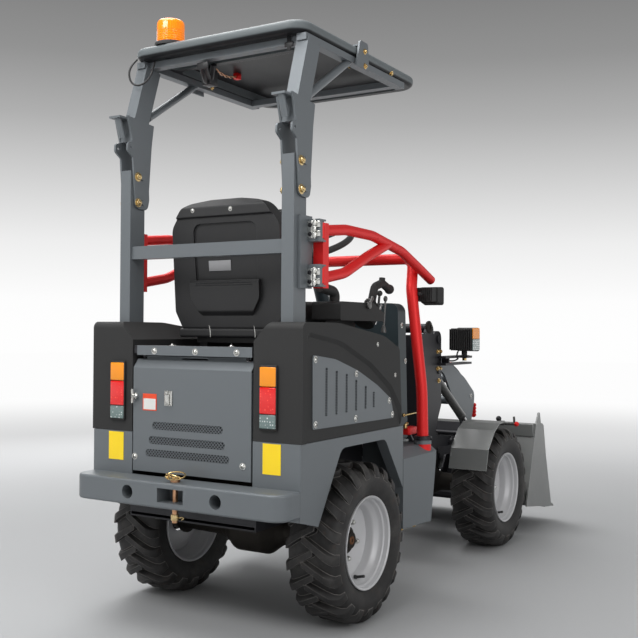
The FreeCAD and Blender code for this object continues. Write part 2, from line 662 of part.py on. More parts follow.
def work_lights():
    """Square work lights on the hoop: finned back box, deeper bezel and stem."""
    lamp = box((640, 694), (-462, -388), (1208, 1268))
    bezel = tapered([(-466, 1204, 8), (-384, 1204, 8), (-384, 1272, 8), (-466, 1272, 8)],
                    [(-474, 1194, 10), (-376, 1194, 10), (-376, 1274, 10), (-474, 1274, 10)], "YZ", 690, 740)
    fins = row(box((633, 641), (-458, -454), (1208, 1268)), ACROSS * 9.2, 8)
    stem = box((627, 650), (-400, -350), (1225, 1250))
    return pair(fused(lamp, bezel, stem, *fins))


# ---------------------------------------------------------------- front frame

def front_frame():
    """The front frame: hinge knuckle, centre beam, loader tower and fender arms."""
    knuckle = rod(V(HINGE_X, 0, 372), V(HINGE_X, 0, 468), 50)
    arm = box((HINGE_X, 870), (-45, 45), (372, 468))
    pin = rod(V(HINGE_X, 0, 330), V(HINGE_X, 0, 512), HINGE_PIN_RADIUS)
    caps = [rod(V(HINGE_X, 0, low), V(HINGE_X, 0, low + 10), 32) for low in (330, 502)]
    beam = less(box((860, 1520), (-BEAM_HALF, BEAM_HALF), (FRONT_PAD_TOP, 540)),
                box((880, 1510), (-BEAM_HALF + 10, BEAM_HALF - 10), (412, 528)))
    back_plate = box((860, 880), (-BEAM_HALF, BEAM_HALF), (365, 540))
    side_line = [(918, TOWER_BOTTOM), (918, 1067, 8), (1058, 1067), (1070, 1080, 12), (1142, 1080, 36),
                 (1146, 720, 20), (1085, 620, 20), (1085, 580), (1268, 560, 10), (1268, 514, 10), (1085, 522),
                 (1085, TOWER_BOTTOM)]
    sides = [prism(side_line, "XZ", low, low + 12) for low in (TOWER_INNER, -TOWER_OUTER)]
    back = box((918, 930), (-TOWER_OUTER, TOWER_OUTER), (TOWER_BOTTOM, 1060))
    shelf = box((918, 1085), (-TOWER_OUTER, TOWER_OUTER), (TOWER_BOTTOM, TOWER_BOTTOM + 12))
    boom_pin = bar_across(BOOM_PIVOT, 20, -TOWER_OUTER - 8, TOWER_OUTER + 8)
    tilt_tube = bar_across(TILT_TUBE, 22, -TOWER_INNER - 1, TOWER_INNER + 1)
    tube_stays = [prism([(960, 1050), (960, 1070, 20), (TILT_TUBE[0], 1128, 34), (1050, 1100, 30), (1050, 1050)], "XZ",
                        low, low + 12) for low in (TOWER_INNER, -TOWER_OUTER)]
    tilt_ears = [less(prism([(976, 1062, 24), (976, 1120, 24), (1080, 1150, 26), (1128, 1150, 24), (1128, 1096, 24),
                             (1084, 1096, 20), (1010, 1068, 24)], "XZ", low, low + 10),
                      bar_across(TILT_BASE, 11, low - 1, low + 11)) for low in (26, -36)]
    tilt_pin = bar_across(TILT_BASE, 12, -40, 40)
    boom_spacers = [bar_across(BOOM_PIVOT, 34, low, low + 55) for low in (-TOWER_INNER - 1, BOOM_OUTER + 1)]
    lift_pins = [bar_across(LIFT_BASE, 12, low, low + 70) for low in (-TOWER_OUTER - 6, TOWER_OUTER - 64)]
    fender_arms = [rod(V(1248, s * 276, 536), V(1248, s * 306, 536), 16) for s in (-1, 1)]
    lamp_arms = [box((1100, far), (min(s * 280, s * 330), max(s * 280, s * 330)), (low, low + 11))
                 for s in (-1, 1) for low, far in ((948, 1400), (914, 1430))]
    lamp_seats = [box((1270, 1330), (min(s * 280, s * 372), max(s * 280, s * 372)), (948, 959)) for s in (-1, 1)]
    lamp_ties = [box((1150, 1160), (min(s * 286, s * 324), max(s * 286, s * 324)), (920, 950)) for s in (-1, 1)]
    x, y, z = STEER_EYE
    steer_ears = [prism([(x - 40, -98), (x + 40, -98), (x + 30, y - 30, 24), (x - 30, y - 30, 24)], "XY",
                        low, low + 8) for low in (z - 28, z + 20)]
    steer_web = box((x - 40, x + 40), (-BEAM_HALF, -BEAM_HALF + 10), (z - 28, z + 28))
    return fused(knuckle, arm, pin, *caps, beam, back_plate, *sides, back, shelf, boom_pin, *boom_spacers, tilt_tube,
                 *tube_stays, *tilt_ears, tilt_pin, *lift_pins, *fender_arms, *lamp_arms, *lamp_seats, *lamp_ties,
                 *steer_ears, steer_web)


def front_fender():
    """The right front fender: a bent sheet over the wheel with an inner stiffener."""
    top = [(1196, 410), (1224, 508), (1312, 594), (1378, 624), (1450, 629), (1450, 625), (1379, 620), (1314, 590),
           (1228, 505), (1200, 410)]
    sheet = prism(top, "XZ", -500, -306)
    rib = prism([(1212, 470), (1225, 507), (1313, 592), (1380, 621), (1445, 626), (1445, 608), (1384, 602),
                 (1322, 574), (1262, 514), (1234, 470)], "XZ", -312, -306)
    return fused(sheet, rib)


def headlights():
    """Headlight cases on the tower's arms: finned back, bezel and foot."""
    case = prism([(1258, 984, 8), (1258, 1094, 12), (1322, 1094, 8), (1322, 984, 8)], "XZ", -402, -286)
    fins = row(box((1246, 1259), (-399, -395), (988, 1090)), ACROSS * 10, 12)
    bezel = tapered([(-402, 984, 10), (-286, 984, 10), (-286, 1094, 10), (-402, 1094, 10)],
                    [(-406, 980, 12), (-282, 980, 12), (-282, 1098, 12), (-406, 1098, 12)], "YZ", 1321, 1344)
    foot = rod(V(1300, -343, 959.5), V(1300, -343, 986), 14)
    return pair(fused(case, bezel, foot, *fins))


def boom():
    """The goose-necked boom: two plates, cross tubes and pivot bosses."""
    outline = [(1062, 1040, 34), (1105, 1084, 34), (1150, 1050, 30), (1186, 972, 60), (1420, 912, 300),
               (1608, 833, 300), (1748, 746, 40), (1742, 690, 40), (1704, 600, 60), (1738, 340, 120),
               (1794, 200, 30), (1790, 146, 30), (1728, 146, 30), (1716, 240, 60), (1652, 330, 100),
               (1598, 570, 80), (1330, 872, 120), (1170, 908, 60), (1098, 990, 30)]
    plates = [prism(outline, "XZ", low, low + 12) for low in (BOOM_INNER, -BOOM_OUTER)]
    ties = [bar_across(spot, 24, -BOOM_INNER - 1, BOOM_INNER + 1) for spot in ((1560, 830), (1690, 705))]
    hubs = [bar_across(BOOM_PIVOT, 36, low, low + 70) for low in (-BOOM_OUTER, BOOM_OUTER - 70)]
    bosses = [bar_across(BUCKET_PIVOT, 26, low, low + 16) for low in (-BOOM_OUTER - 2, BOOM_INNER - 2)]
    stubs = [bar_across(LIFT_EYE, 20, low, low + 7) for low in (-BOOM_OUTER - 5, BOOM_OUTER - 2)]
    solid = fused(plates[0], plates[1], *ties, *hubs, *bosses, *stubs)
    pin_bore = bar_across(BOOM_PIVOT, HINGE_PIN_RADIUS + RUNNING_GAP, -300, 300)
    bucket_bore = bar_across(BUCKET_PIVOT, BUCKET_PIN_RADIUS + RUNNING_GAP, -300, 300)
    return less(solid, pin_bore, bucket_bore)


def bucket_pin():
    """The shaft through the boom legs that the tool carrier hangs on, with its end plates."""
    shaft = bar_across(BUCKET_PIVOT, BUCKET_PIN_RADIUS, -BOOM_OUTER - 12, BOOM_OUTER + 12)
    heads = [bar_across(BUCKET_PIVOT, 24, low, low + 7) for low in (-BOOM_OUTER - 12, BOOM_OUTER + 5)]
    return fused(shaft, *heads)


def barrel(base, eye, y, radius, share, pin_radius):
    """A cylinder barrel with its base eye, along the line from base to eye in the xz plane."""
    start = V(base[0], y, base[1])
    line = (V(eye[0], y, eye[1]) - start).normalize()
    length = V(eye[0], y, eye[1]).distanceToPoint(start)
    body = rod(start + line * 30, start + line * (length * share), radius)
    gland = rod(start + line * (length * share - 26), start + line * (length * share), radius + 1)
    eye_ring = bar_across(base, 24, y - 22, y + 22)
    neck = rod(start, start + line * 34, 17)
    pin_hole = bar_across(base, pin_radius + RUNNING_GAP, y - 60, y + 60)
    bore = rod(start + line * 60, start + line * (length * share + 1), radius * ROD_SHARE + 0.3)
    return less(fused(body, gland, neck, eye_ring), pin_hole, bore)


def piston(base, eye, y, radius, inside):
    """A piston rod from inside its barrel to its eye."""
    start = V(base[0], y, base[1])
    finish = V(eye[0], y, eye[1])
    line = (finish - start).normalize()
    shaft = rod(start + line * inside, finish - line * 20, radius)
    eye_ring = bar_across(eye, 23, y - 17, y + 17)
    return fused(shaft, eye_ring)




def lift_barrels():
    """The two lift cylinder barrels."""
    return pair(barrel(LIFT_BASE, LIFT_EYE, -LIFT_Y, LIFT_RADIUS, 0.72, 12))


def lift_rods():
    """The two lift cylinder rods."""
    return pair(piston(LIFT_BASE, LIFT_EYE, -LIFT_Y, LIFT_RADIUS * ROD_SHARE, 130))


def steer_line():
    """Start, direction and length of the steering cylinder."""
    start, finish = V(*STEER_BASE), V(*STEER_EYE)
    return start, (finish - start).normalize(), finish.distanceToPoint(start)


def steer_barrel():
    """The steering cylinder's barrel, pinned to the rear frame."""
    start, line, length = steer_line()
    body = rod(start + line * 30, start + line * 370, 22)
    neck = rod(start, start + line * 36, 12)
    eye_ring = rod(start - UP * 14, start + UP * 14, 21)
    pin_hole = rod(start - UP * 30, start + UP * 30, 10 + RUNNING_GAP)
    bore = rod(start + line * 60, start + line * 371, 11.3)
    return less(fused(body, neck, eye_ring), pin_hole, bore)


def steer_rod():
    """The steering cylinder's rod and eye."""
    start, line, length = steer_line()
    shaft = rod(start + line * 235, start + line * (length - 18), 11)
    eye_ring = rod(V(*STEER_EYE) - UP * 14, V(*STEER_EYE) + UP * 14, 20)
    return fused(shaft, eye_ring)


# ---------------------------------------------------------------- bucket

def coupler():
    """The tool carrier between the boom legs: slanted frame, pin lugs, tilt lugs and lock lever."""
    frame = prism([(1811, 263), (1919, 560), (1906, 565), (1798, 268)], "XZ", -196, 196)
    frame = less(frame, box((1780, 1860), (-24, 24), (240, 360)))
    lugs = [prism([(1732, 152, 27), (1732, 232, 40), (1782, 430, 40), (1864, 436), (1803, 268), (1790, 206, 20),
                   (1788, 152, 27)], "XZ", low, low + 14) for low in (182, -196)]
    tilt_lugs = [prism([(1746, 266, 23), (1746, 316, 23), (1796, 392, 20), (1849, 392), (1804, 268), (1790, 262)],
                       "XZ", low, low + 10) for low in (25, -35)]
    hub = bar_across(BUCKET_PIVOT, 24, -197, 197)
    bolts = bar_across((1884, 505), 12, -227, 227)
    lever = tube([V(1884, -220, 505), V(1862, -290, 530), V(1826, -330, 600)], 6, 25)
    ball = Part.makeSphere(15, V(1826, -330, 604))
    bore = bar_across(BUCKET_PIVOT, BUCKET_PIN_RADIUS + RUNNING_GAP, -300, 300)
    return less(fused(frame, *lugs, *tilt_lugs, hub, bolts, lever, ball), bore)


def bucket():
    """The bucket: bent shell, back rail, side plates, cutting edge and side cutters."""
    heel = (1771, 151)
    crest = (1926, 577)
    floor_end = (2113, 103)
    shell = prism([crest, (*heel, 90), floor_end, (2113, 111), (1784, 157, 82), (1934, 574)], "XZ",
                  -BUCKET_HALF + 2, BUCKET_HALF - 2)
    rail = prism([(1926, 580), (1887, 578, 5), (1894, 512, 5), (1902, 506)], "XZ", -BUCKET_HALF + 8, BUCKET_HALF - 8)
    rail = less(rail, box((1880, 1935), (-230, 230), (500, 600)))
    edge = prism([(2080, 103), (FRONT_END, 84), (FRONT_END, 88), (2212, 106), (2085, 120)], "XZ",
                 -BUCKET_HALF, BUCKET_HALF)
    cheek = [heel, crest, (1968, 634, 14), (1988, 636, 10), (2008, 573), (2130, 101)]
    sides = [prism(cheek, "XZ", low, low + 8) for low in (-BUCKET_HALF, BUCKET_HALF - 8)]
    cutters = [prism([(1996, 573), (2030, 573, 10), (2056, 560, 10), (2100, 389), (2198, 106), (2110, 106)], "XZ",
                     low, low + 16) for low in (-BUCKET_HALF, BUCKET_HALF - 16)]
    return fused(shell, rail, edge, *sides, *cutters)


def save(name, shape):
    """Write one node, moved to the middle of the machine's length."""
    placed = shape.copy()
    placed.translate(V(-MID_LENGTH, 0, 0))
    placed.exportStep(f"parts/{name}.step")
    solids = placed.Solids
    print(f"{name:24s} solids {len(solids)} valid {placed.isValid()} volume {placed.Volume / 1e6:9.3f} l")


def main():
    """Build and save every node."""
    os.makedirs("parts", exist_ok=True)
    for end, centre in (("rear", REAR_AXLE), ("front", FRONT_AXLE)):
        for name, side in (("left", 1), ("right", -1)):
            save(f"{end}_{name}_tyre", tyre(centre, side))
            save(f"{end}_{name}_rim", rim(centre, side))
    save("rear_axle", axle(REAR_AXLE, REAR_PAD_TOP))
    save("front_axle", axle(FRONT_AXLE, FRONT_PAD_TOP))
    save("rear_chassis", rear_chassis())
    save("rear_bumper", rear_bumper())
    save("hitch_pin", hitch_pin())
    save("rear_fenders", pair(rear_fender()))
    save("side_covers", pair(side_cover()))
    save("vent_panels", pair(vent_panel()))
    save("engine_door", engine_door())
    save("engine_block", engine_block())
    save("tail_lights", tail_lights())
    save("seat_frame", seat_frame())
    save("seat_back_pad", seat_back_pad())
    save("seat_cushion", seat_cushion())
    save("control_box", control_box())
    save("dash", dash())
    save("steering_wheel", steering_wheel())
    save("step_boxes", pair(step_box()))
    save("floor_plate", floor_plate())
    save("front_hoop", front_hoop())
    save("gate_left", gate(1))
    save("gate_right", gate(-1))
    save("rops_lower", rops_lower())
    save("rops_upper", rops_upper())
    save("roof", roof())
    save("beacon", beacon())
    save("roof_cable", roof_cable())
    save("work_lights", work_lights())
    save("front_frame", front_frame())
    save("front_fenders", pair(front_fender()))
    save("headlights", headlights())
    save("boom", boom())
    save("bucket_pin", bucket_pin())
    save("lift_barrels", lift_barrels())
    save("lift_rods", lift_rods())
    save("tilt_barrel", barrel(TILT_BASE, TILT_EYE, 0, TILT_RADIUS, 0.62, 12))
    save("tilt_rod", piston(TILT_BASE, TILT_EYE, 0, TILT_RADIUS * ROD_SHARE, 420))
    save("steer_barrel", steer_barrel())
    save("steer_rod", steer_rod())
    save("coupler", coupler())
    save("bucket", bucket())


main()
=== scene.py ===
"""The looks of a compact wheel loader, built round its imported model.

Each sub-assembly is a class. It holds its sizes in metres, models its pieces and dresses them.
"""

import logging
import math
from dataclasses import dataclass, field
from enum import Enum
from typing import Callable, Iterable, Optional, Sequence, Union

import bpy
from mathutils import Matrix, Vector


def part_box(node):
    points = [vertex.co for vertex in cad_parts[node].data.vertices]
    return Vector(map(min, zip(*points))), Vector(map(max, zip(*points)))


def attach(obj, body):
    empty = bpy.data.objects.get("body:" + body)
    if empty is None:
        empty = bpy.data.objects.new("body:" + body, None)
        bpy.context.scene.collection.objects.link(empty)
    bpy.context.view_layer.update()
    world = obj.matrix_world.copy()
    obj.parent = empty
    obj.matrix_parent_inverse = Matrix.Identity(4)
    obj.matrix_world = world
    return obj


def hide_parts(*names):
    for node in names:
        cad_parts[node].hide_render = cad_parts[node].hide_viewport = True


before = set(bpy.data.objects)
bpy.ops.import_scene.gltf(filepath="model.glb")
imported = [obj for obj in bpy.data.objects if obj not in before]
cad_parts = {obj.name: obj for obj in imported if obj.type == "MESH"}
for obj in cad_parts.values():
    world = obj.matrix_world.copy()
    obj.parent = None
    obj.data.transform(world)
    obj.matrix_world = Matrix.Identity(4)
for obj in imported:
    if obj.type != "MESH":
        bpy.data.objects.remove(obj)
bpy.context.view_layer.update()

log = logging.getLogger("loader")
Number = Union[int, float]
Point = Sequence[float]
Piece = bpy.types.Object

MILLIMETRE = 0.001
RIGHT = -1
LEFT = 1
SIDES = ((LEFT, "left"), (RIGHT, "right"))
UP = (0, 0, 1)


def node_centre(name: str) -> Vector:
    """The middle of a CAD node's box."""
    low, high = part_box(name)
    return (low + high) / 2


REAR_AXLE_X = node_centre("rear_left_tyre").x


def at(x: Number, y: Number, z: Number) -> Vector:
    """A place in metres from millimetres ahead of the rear axle, to the left and above the ground."""
    return Vector((REAR_AXLE_X + x * MILLIMETRE, y * MILLIMETRE, z * MILLIMETRE))


# ---------------------------------------------------------------- shader graph


class Wire:
    """A shader socket that takes part in sums."""

    def __init__(self, graph: "Graph", socket: bpy.types.NodeSocket) -> None:
        """Keeps the graph and the socket."""
        self.graph = graph
        self.socket = socket

    def _sum(self, operation: str, first: "Operand", second: "Operand") -> "Wire":
        """One Math node on two operands."""
        return self.graph.add("ShaderNodeMath", {"operation": operation}, {0: first, 1: second})

    def __add__(self, other: "Operand") -> "Wire":
        """Sum."""
        return self._sum("ADD", self, other)

    def __radd__(self, other: "Operand") -> "Wire":
        """Sum with the number first."""
        return self._sum("ADD", other, self)

    def __sub__(self, other: "Operand") -> "Wire":
        """Difference."""
        return self._sum("SUBTRACT", self, other)

    def __rsub__(self, other: "Operand") -> "Wire":
        """Difference with the number first."""
        return self._sum("SUBTRACT", other, self)

    def __mul__(self, other: "Operand") -> "Wire":
        """Product."""
        return self._sum("MULTIPLY", self, other)

    def __rmul__(self, other: "Operand") -> "Wire":
        """Product with the number first."""
        return self._sum("MULTIPLY", other, self)

    def clamped(self) -> "Wire":
        """The value held between nought and one."""
        return self.graph.add("ShaderNodeClamp", {}, {"Value": self})

    def ramp(self, low: float, high: float) -> "Wire":
        """Nought below low, one above high and a smooth rise between them."""
        settings = {"interpolation_type": "SMOOTHSTEP"}
        return self.graph.add("ShaderNodeMapRange", settings, {"Value": self, "From Min": low, "From Max": high})


Operand = Union[Wire, Number]


class Graph:
    """The node tree of one material."""

    def __init__(self, name: str) -> None:
        """Starts an empty material with a surface shader."""
        self.material = bpy.data.materials.new(name)
        self.material.use_nodes = True
        self.tree = self.material.node_tree
        self.tree.nodes.clear()
        self.output = self.tree.nodes.new("ShaderNodeOutputMaterial")

    def add(self, kind: str, settings: dict, values: dict, output: Union[int, str] = 0) -> Wire:
        """Adds a node.

        Args:
            kind: the node's type.
            settings: its properties, set first.
            values: what each input socket holds, a wire or a plain value.
            output: which output to hand back.

        Returns:
            The wire from that output.
        """
        node = self.tree.nodes.new(kind)
        for key, value in settings.items():
            setattr(node, key, value)
        for key, value in values.items():
            if isinstance(value, Wire):
                self.tree.links.new(value.socket, node.inputs[key])
            else:
                node.inputs[key].default_value = value
        return Wire(self, node.outputs[output])

    def place(self) -> Wire:
        """Object coordinates."""
        return self.add("ShaderNodeTexCoord", {}, {}, "Object")

    def noise(self, scale: float, detail: float = 3.0, rough: float = 0.5) -> Wire:
        """Fractal noise between nought and one."""
        return self.add(
            "ShaderNodeTexNoise", {}, {"Vector": self.place(), "Scale": scale, "Detail": detail, "Roughness": rough}
        )

    def height_of_normal(self) -> Wire:
        """How far the surface faces up in the piece's own frame, from -1 to 1."""
        normal = self.add("ShaderNodeTexCoord", {}, {}, "Normal")
        return self.add("ShaderNodeSeparateXYZ", {}, {"Vector": normal}, "Z")

    def blend(self, share: Operand, first: "Colour", second: "Colour") -> Wire:
        """A mix of two colours by a share."""
        node = self.tree.nodes.new("ShaderNodeMix")
        node.data_type = "RGBA"
        for socket, value in ((node.inputs[0], share), (node.inputs[6], first), (node.inputs[7], second)):
            if isinstance(value, Wire):
                self.tree.links.new(value.socket, socket)
            else:
                socket.default_value = value
        return Wire(self, node.outputs[2])

    def edge(self, radius: float, gain: float) -> tuple[Wire, Wire]:
        """Where the surface turns sharply.

        Args:
            radius: how far the rounding reaches, in metres.
            gain: how fast the mask rises at an edge.

        Returns:
            The mask and the rounded normal.
        """
        rounded = self.add("ShaderNodeBevel", {"samples": 6}, {"Radius": radius})
        flat = self.add("ShaderNodeNewGeometry", {}, {}, "Normal")
        turn = self.add("ShaderNodeVectorMath", {"operation": "DOT_PRODUCT"}, {0: rounded, 1: flat}, "Value")
        return ((1 - turn) * gain).clamped(), rounded

    def bump(self, height: Wire, distance: float, strength: float = 1.0, normal: Optional[Wire] = None) -> Wire:
        """A bumped normal from a height."""
        values = {"Height": height, "Distance": distance, "Strength": strength}
        if normal is not None:
            values["Normal"] = normal
        return self.add("ShaderNodeBump", {}, values)

    def surface(self, **values: Union[Wire, Number, tuple]) -> bpy.types.Material:
        """Ends the graph in a principled surface.

        Args:
            values: its inputs, named with underscores for spaces.

        Returns:
            The finished material.
        """
        shader = self.add("ShaderNodeBsdfPrincipled", {}, {k.replace("_", " "): v for k, v in values.items()})
        self.tree.links.new(shader.socket, self.output.inputs["Surface"])
        return self.material


Colour = Union[Wire, tuple[float, float, float, float]]


def tone(red: float, green: float, blue: float) -> tuple[float, float, float, float]:
    """A linear colour from screen values between 0 and 255."""
    levels = [c / 255 for c in (red, green, blue)]
    linear = [c / 12.92 if c <= 0.04045 else ((c + 0.055) / 1.055) ** 2.4 for c in levels]
    return (linear[0], linear[1], linear[2], 1.0)


# ---------------------------------------------------------------- finishes


@dataclass(frozen=True)
class Paint:
    """Sprayed paint on steel: faint mottling, dust in patches and pale edges, partly wear and partly a painted
    highlight.
    """

    name: str
    colour: tuple
    dusty: tuple
    edge: tuple
    roughness: float = 0.4
    coat: float = 0.25
    shine: float = 0.5
    metallic: float = 0.0
    peel: float = 0.00006
    edge_gain: float = 5.0
    edge_radius: float = 0.0022
    dust_share: float = 0.35
    patch_scale: float = 3.1
    speck_scale: float = 160.0
    highlight_and_wear_scale: float = 38.0
    under: Optional[tuple] = None

    def make(self) -> bpy.types.Material:
        """Builds the material."""
        g = Graph(self.name)
        cloud = g.noise(self.patch_scale, 4.0, 0.6)
        speck = g.noise(self.speck_scale, 2.0)
        mask, rounded = g.edge(self.edge_radius, self.edge_gain)
        # Pale edges where the surface turns sharply: partly wear, partly a painted highlight.
        edge_highlight_and_wear = (mask * (0.55 + g.noise(self.highlight_and_wear_scale, 3.0) * 0.8)).clamped()
        body = g.blend((cloud.ramp(0.42, 0.75) * self.dust_share).clamped(), self.colour, self.dusty)
        if self.under is not None:
            body = g.blend((g.height_of_normal() * -1).ramp(0.25, 0.6), body, self.under)
        colour = g.blend(edge_highlight_and_wear, body, self.edge)
        rough = self.roughness + (cloud - 0.5) * 0.16 + (speck - 0.5) * 0.06
        normal = g.bump(speck, self.peel, 0.6, rounded)
        return g.surface(Base_Color=colour, Roughness=rough.clamped(), Normal=normal, Coat_Weight=self.coat,
                         Coat_Roughness=0.2, Specular_IOR_Level=self.shine, Metallic=self.metallic)


@dataclass(frozen=True)
class Moulding:
    """Moulded plastic or vinyl with a fine leather-like grain and pale edges painted on as a highlight."""

    name: str
    colour: tuple
    pale: tuple
    roughness: float = 0.5
    grain: float = 0.00012
    grain_scale: float = 420.0
    edge: tuple = tone(96, 96, 98)
    edge_gain: float = 3.0

    def make(self) -> bpy.types.Material:
        """Builds the material."""
        g = Graph(self.name)
        cloud = g.noise(5.0, 4.0, 0.6)
        cells = g.add("ShaderNodeTexVoronoi", {"feature": "DISTANCE_TO_EDGE"},
                      {"Vector": g.place(), "Scale": self.grain_scale})
        mask, rounded = g.edge(0.0025, self.edge_gain)
        body = g.blend((cloud.ramp(0.4, 0.8) * 0.5).clamped(), self.colour, self.pale)
        # Pale edges where the surface turns sharply: a painted highlight.
        colour = g.blend((mask * (0.4 + cloud * 0.6)).clamped(), body, self.edge)
        rough = (self.roughness + (cloud - 0.5) * 0.2).clamped()
        return g.surface(Base_Color=colour, Roughness=rough, Normal=g.bump(cells, self.grain, 0.7, rounded))


@dataclass(frozen=True)
class Rubber:
    """Tyre rubber: near black, dusty in patches, pale on what stands proud, partly dust and partly a painted
    highlight, with brown road dirt in patches.
    """

    name: str
    colour: tuple = tone(36, 35, 35)
    dusty: tuple = tone(84, 82, 80)
    pale: tuple = tone(138, 134, 130)
    dirt: tuple = tone(66, 50, 40)

    def make(self) -> bpy.types.Material:
        """Builds the material."""
        g = Graph(self.name)
        cloud = g.noise(9.0, 5.0, 0.65)
        fine = g.noise(240.0, 2.0)
        mask, rounded = g.edge(0.003, 6.0)
        dust = g.blend((cloud.ramp(0.4, 0.8) * 0.6).clamped(), self.colour, self.dusty)
        muddy = g.blend((g.noise(22.0, 4.0, 0.7).ramp(0.55, 0.8) * 0.6).clamped(), dust, self.dirt)
        # Pale where the surface turns sharply: partly dust, partly a painted highlight.
        colour = g.blend((mask * (0.35 + g.noise(30.0, 3.0) * 0.9)).clamped(), muddy, self.pale)
        rough = (0.6 + (cloud - 0.5) * 0.3).clamped()
        return g.surface(Base_Color=colour, Roughness=rough, Normal=g.bump(fine, 0.0003, 0.6, rounded),
                         Specular_IOR_Level=0.4)


@dataclass(frozen=True)
class Metal:
    """Bare, plated or brushed metal."""

    name: str
    colour: tuple
    stain: tuple
    roughness: float = 0.3
    stain_share: float = 0.4
    scratch: float = 0.00004

    def make(self) -> bpy.types.Material:
        """Builds the material."""
        g = Graph(self.name)
        cloud = g.noise(60.0, 4.0, 0.6)
        fine = g.noise(700.0, 2.0)
        colour = g.blend((cloud.ramp(0.45, 0.75) * self.stain_share).clamped(), self.colour, self.stain)
        rough = (self.roughness + (cloud - 0.5) * 0.2 + (fine - 0.5) * 0.1).clamped()
        return g.surface(Base_Color=colour, Roughness=rough, Metallic=1.0, Normal=g.bump(fine, self.scratch, 0.5))


@dataclass(frozen=True)
class Lens:
    """A glossy lamp lens with rows of bright diode cups behind its ribs and a faint painted glow."""

    name: str
    colour: tuple
    bright: tuple
    pitch: float = 0.0105
    painted_glow: float = 0.3
    share: float = 0.8

    def make(self) -> bpy.types.Material:
        """Builds the material."""
        g = Graph(self.name)
        cups = g.add("ShaderNodeTexVoronoi", {"feature": "F1"},
                     {"Vector": g.place(), "Scale": 1 / self.pitch, "Randomness": 0.35})
        spot = ((1 - cups.ramp(0.16, 0.44)) * self.share).clamped()
        colour = g.blend(spot, self.colour, self.bright)
        # The colour also feeds a faint emission: a painted glow that brightens the lens.
        return g.surface(Base_Color=colour, Roughness=0.14, Coat_Weight=0.6, Coat_Roughness=0.05,
                         Emission_Color=colour, Emission_Strength=self.painted_glow, Normal=g.bump(cups, 0.0008, 0.5))


@dataclass(frozen=True)
class Chequer:
    """Rough pale tread sheet, bright on its raised bars, partly rubbed wear and partly a painted highlight."""

    name: str
    colour: tuple = tone(122, 126, 126)
    bright: tuple = tone(196, 198, 196)

    def make(self) -> bpy.types.Material:
        """Builds the material."""
        g = Graph(self.name)
        cloud = g.noise(24.0, 5.0, 0.7)
        grit = g.noise(190.0, 3.0)
        mask, rounded = g.edge(0.0015, 6.0)
        body = g.blend(cloud.ramp(0.35, 0.7), self.colour, tone(150, 153, 152))
        # Bright where the surface turns sharply: partly rubbed wear, partly a painted highlight.
        colour = g.blend((mask + grit.ramp(0.62, 0.75) * 0.5).clamped(), body, self.bright)
        return g.surface(Base_Color=colour, Roughness=0.5, Metallic=0.25, Normal=g.bump(grit, 0.0006, 0.7, rounded))


